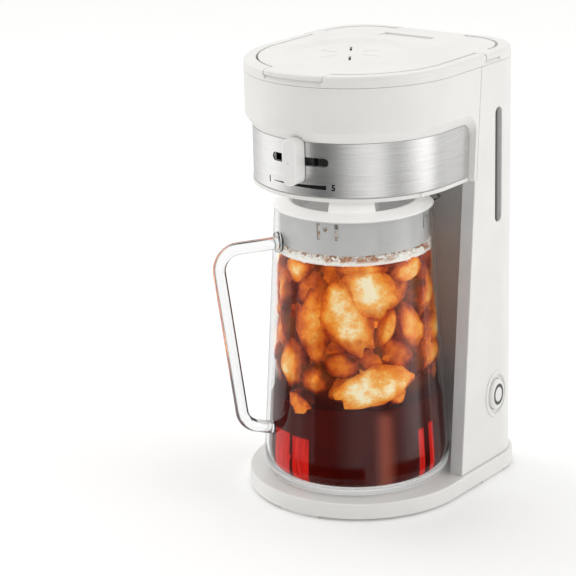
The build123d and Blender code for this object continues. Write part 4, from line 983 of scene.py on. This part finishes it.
# ---- Print on the steel band -----------------------------------------------------------------
PRINT_PROUD = 0.06 * MM
WEDGE_FROM, WEDGE_TO = -15.8, 18.2            # degrees from the front
WEDGE_HEIGHT = 245.7 * MM
WEDGE_THIN, WEDGE_THICK = 0.4 * MM, 3.2 * MM
WEDGE_STEPS = 24
FIGURE_SIZE = 6.0 * MM
FIGURE_BOLD = 0.22 * MM                       # thickens the strokes
FIGURE_APART = 3.9                            # degrees between the wedge's end and a figure


def on_band(turn, height, proud):
    return around(BAND_AXIS, turn, BAND_REACH + proud, height)


def add_wedge(ink):
    """The scale under the slot: a bar that widens from weak to strong."""
    working = bmesh.new()
    sections = []
    for step in range(WEDGE_STEPS + 1):
        share = step / WEDGE_STEPS
        turn = WEDGE_FROM + (WEDGE_TO - WEDGE_FROM) * share
        half = (WEDGE_THIN + (WEDGE_THICK - WEDGE_THIN) * share) / 2
        corners = ((-half, 0), (half, 0), (half, PRINT_PROUD), (-half, PRINT_PROUD))
        sections.append(
            [working.verts.new(on_band(turn, WEDGE_HEIGHT + z, proud)) for z, proud in corners]
        )
    for before, after in zip(sections, sections[1:]):
        for side in range(4):
            beyond = (side + 1) % 4
            working.faces.new([before[side], before[beyond], after[beyond], after[side]])
    working.faces.new(sections[0])
    working.faces.new(sections[-1])
    piece("scale_wedge", mesh_of("scale_wedge", working), ink, "machine")


def add_figure(figure, turn, ink):
    """A plain number, bent onto the band."""
    words = bpy.data.curves.new(f"scale_{figure}", "FONT")
    words.body = figure
    words.size = FIGURE_SIZE
    words.extrude = PRINT_PROUD / 2
    words.offset = FIGURE_BOLD
    words.align_x = "CENTER"
    words.align_y = "CENTER"
    flat = bpy.data.objects.new("flat_figure", words)
    scene.collection.objects.link(flat)
    bpy.context.view_layer.update()
    mesh = bpy.data.meshes.new_from_object(flat)
    bpy.data.objects.remove(flat)
    mesh.materials.clear()
    for vert in mesh.vertices:
        across, up, out = vert.co
        bent = turn + math.degrees(across / BAND_REACH)
        vert.co = on_band(bent, WEDGE_HEIGHT + up, out + PRINT_PROUD / 2)
    made = piece(f"scale_{figure}", mesh, ink, "machine")
    for face in made.data.polygons:
        face.use_smooth = False


def add_print():
    ink = print_black("scale_ink")
    add_wedge(ink)
    add_figure("1", WEDGE_FROM - FIGURE_APART, ink)
    add_figure("5", WEDGE_TO + FIGURE_APART, ink)


# ---- Camera, floor and light -----------------------------------------------------------------
IMAGE_SIZE = 576                              # the photo is square
FOCAL_PIXELS = 2100
CAMERA_TURN = 37.51                           # degrees from the front towards +X
CAMERA_DOWN = 17.61
CAMERA_ROLL = -1.51
CAMERA_REACH = 1.52607                        # from the camera to the pitcher's rim
RIM_HEIGHT = 0.217
RIM_PIXEL = (353.36, 202.11)                  # where the photo shows the middle of that rim


def add_camera():
    turn, down, roll = (math.radians(a) for a in (CAMERA_TURN, CAMERA_DOWN, CAMERA_ROLL))
    ahead = Vector(
        (-math.sin(turn) * math.cos(down), math.cos(turn) * math.cos(down), -math.sin(down))
    )
    level = Vector((math.cos(turn), math.sin(turn), 0))
    upward = level.cross(ahead)
    right = level * math.cos(roll) + upward * math.sin(roll)
    up = upward * math.cos(roll) - level * math.sin(roll)
    aside = (RIM_PIXEL[0] - IMAGE_SIZE / 2) * CAMERA_REACH / FOCAL_PIXELS
    above = -(RIM_PIXEL[1] - IMAGE_SIZE / 2) * CAMERA_REACH / FOCAL_PIXELS
    rim = PITCHER_AXIS + Vector((0, 0, RIM_HEIGHT))
    lens = bpy.data.cameras.new("camera")
    lens.sensor_width = 36
    lens.lens = FOCAL_PIXELS * lens.sensor_width / IMAGE_SIZE
    lens.clip_start = 0.05
    camera = bpy.data.objects.new("camera", lens)
    camera.matrix_world = Matrix.Translation(
        rim - (ahead * CAMERA_REACH + right * aside + up * above)
    ) @ Matrix((right, up, -ahead)).transposed().to_4x4()
    scene.collection.objects.link(camera)
    scene.camera = camera


FLOOR_GLOW = 0.065                            # keeps the floor as bright as the background
FLOOR_HALF = 4.0


def add_floor():
    working = bmesh.new()
    corners = ((-1, -1), (1, -1), (1, 1), (-1, 1))
    working.faces.new(
        [working.verts.new((x * FLOOR_HALF, y * FLOOR_HALF, 0)) for x, y in corners]
    )
    mesh = mesh_of("floor", working)
    mesh.materials.append(floor_paper("floor_paper"))
    floor = bpy.data.objects.new("floor", mesh)
    floor.visible_glossy = False
    floor.visible_transmission = False
    scene.collection.objects.link(floor)


AIM_HEIGHT = 0.16                             # panels face the object's middle


def add_panel(name, turn, reach, height, wide, tall, power):
    """A soft panel of light that faces the object's middle."""
    light = bpy.data.lights.new(name, "AREA")
    light.shape = "RECTANGLE"
    light.size = wide
    light.size_y = tall
    light.energy = power
    panel = bpy.data.objects.new(name, light)
    panel.location = around(PITCHER_AXIS, turn, reach, height)
    aim = Vector((0, 0, min(height, AIM_HEIGHT))) - panel.location
    panel.rotation_euler = aim.to_track_quat("-Z", "Y").to_euler()
    panel.visible_camera = False
    panel.visible_transmission = False
    scene.collection.objects.link(panel)


# What gloss sees round the studio: brightness over 2 at each turn, from -180 to 180 degrees
STUDIO_ROUND = (
    (-180, 0.40),
    (-140, 0.36),
    (-131, 0.34),
    (-100, 0.45),
    (-88, 0.64),
    (-54, 0.64),
    (-44, 0.40),
    (-26, 0.22),
    (-22, 0.40),
    (-18, 0.10),
    (6, 0.10),
    (20, 0.34),
    (33, 0.60),
    (60, 0.56),
    (74, 0.22),
    (92, 0.50),
    (108, 0.95),
    (122, 0.95),
    (129, 0.22),
    (140, 0.46),
    (180, 0.42),
)
SIDE_LIGHT = 1.12                             # soft light from the sides and from behind
FRONT_LIGHT = 0.46                            # soft light from where the camera stands
PLAIN_GLOSS = 0.85                            # what gloss sees above and below the strips
SCATTERED_LIGHT = 1.9
# Slopes are the upright part of a direction, from -1 straight down to 1 straight up
STRIPS_LOW, STRIPS_HIGH = -0.55, 0.02         # the strips stand between these slopes
DARK_ABOVE, DARK_BELOW = -0.27, -0.31         # low gloss turns dark between these slopes
DARK_FROM, DARK_TO = -58.0, 150.0             # turns between which low gloss is dark
SHINE_FROM, SHINE_TO = 45.0, 71.0             # where the upright window light stands in it
BEHIND = CAMERA_TURN - 180.0                  # the turn that the camera looks towards
CARDS = ((42, 95), (265, 318))                # dark cards that glass sees, as turns from there
STEEP_FROM, STEEP_TO = 0.62, 0.72             # above and below these slopes glass sees dark too


def add_world():
    """White all round for the camera, soft light for the rest, upright strips for the gloss."""
    studio = Finish("studio", bpy.data.worlds)
    scene.world = studio.holder
    direction = studio.node("TexCoord", {}, {}, "Generated")
    x, y, z = studio.parts(direction)
    turn = studio.turn_of(x, y)
    angle = math.radians(CAMERA_TURN)
    toward = (math.sin(angle), -math.cos(angle), 0)
    facing = studio.node(
        "VectorMath", {"operation": "DOT_PRODUCT"}, {0: direction, 1: toward}, "Value"
    )
    soft = facing.between(-0.1, 0.95, SIDE_LIGHT, FRONT_LIGHT)
    stops = [((spot + 180) / 360, (bright, bright, bright)) for spot, bright in STUDIO_ROUND]
    strips = 2.0 * studio.ramp(turn * (1 / 360) + 0.5, *stops)
    level = z.within(STRIPS_LOW, STRIPS_HIGH, 0.06)
    shine = turn.within(SHINE_FROM, SHINE_TO, 3.0)
    low = z.between(DARK_ABOVE, DARK_BELOW) * turn.within(DARK_FROM, DARK_TO, 8.0) * (1 - shine)
    gloss = PLAIN_GLOSS * (1 - level) + level * strips * (1 - 0.95 * low)
    # through glass, the half of the room behind the camera looks as it does to gloss
    cards = sum(turn.within(BEHIND + start, BEHIND + end, 2.0) for start, end in CARDS)
    steep = z.between(STEEP_FROM, STEEP_TO) + z.between(-STEEP_FROM, -STEEP_TO)
    near = facing.between(0.0, 0.2)
    seen = (1 - 0.97 * cards.at_least(steep)) * (1 - near) + near * gloss
    # light that comes in through the glass and is scattered there is plain
    bounces = studio.node("LightPath", {}, {}, "Diffuse Depth")
    scattered = bounces.between(0.2, 0.8)
    through = seen * (1 - scattered) + scattered * soft * SCATTERED_LIGHT
    kinds = ("Camera", "Glossy", "Transmission")
    path = {kind: studio.node("LightPath", {}, {}, f"Is {kind} Ray") for kind in kinds}
    # a ray that has passed glass counts as both kinds
    mirrored = path["Glossy"] * (1 - path["Transmission"])
    other = 1 - path["Camera"] - mirrored - path["Transmission"]
    strength = path["Camera"] + mirrored * gloss + path["Transmission"] * through
    strength = strength + other.at_least(0.0) * soft
    light = studio.node("Background", {}, {"Color": (1.0, 0.997, 0.99), "Strength": strength})
    studio.node("OutputWorld", {}, {"Surface": light})


def add_light():
    add_world()
    scene.view_settings.view_transform = "Standard"
    add_panel("key_left", turn=-95, reach=1.3, height=1.3, wide=0.8, tall=0.8, power=4.2)
    add_panel("side_right", turn=105, reach=1.4, height=0.7, wide=0.8, tall=1.2, power=3)


finish_frame()
add_tea()
add_ice()
add_foam()
add_springs()
add_print()
add_camera()
add_floor()
add_light()
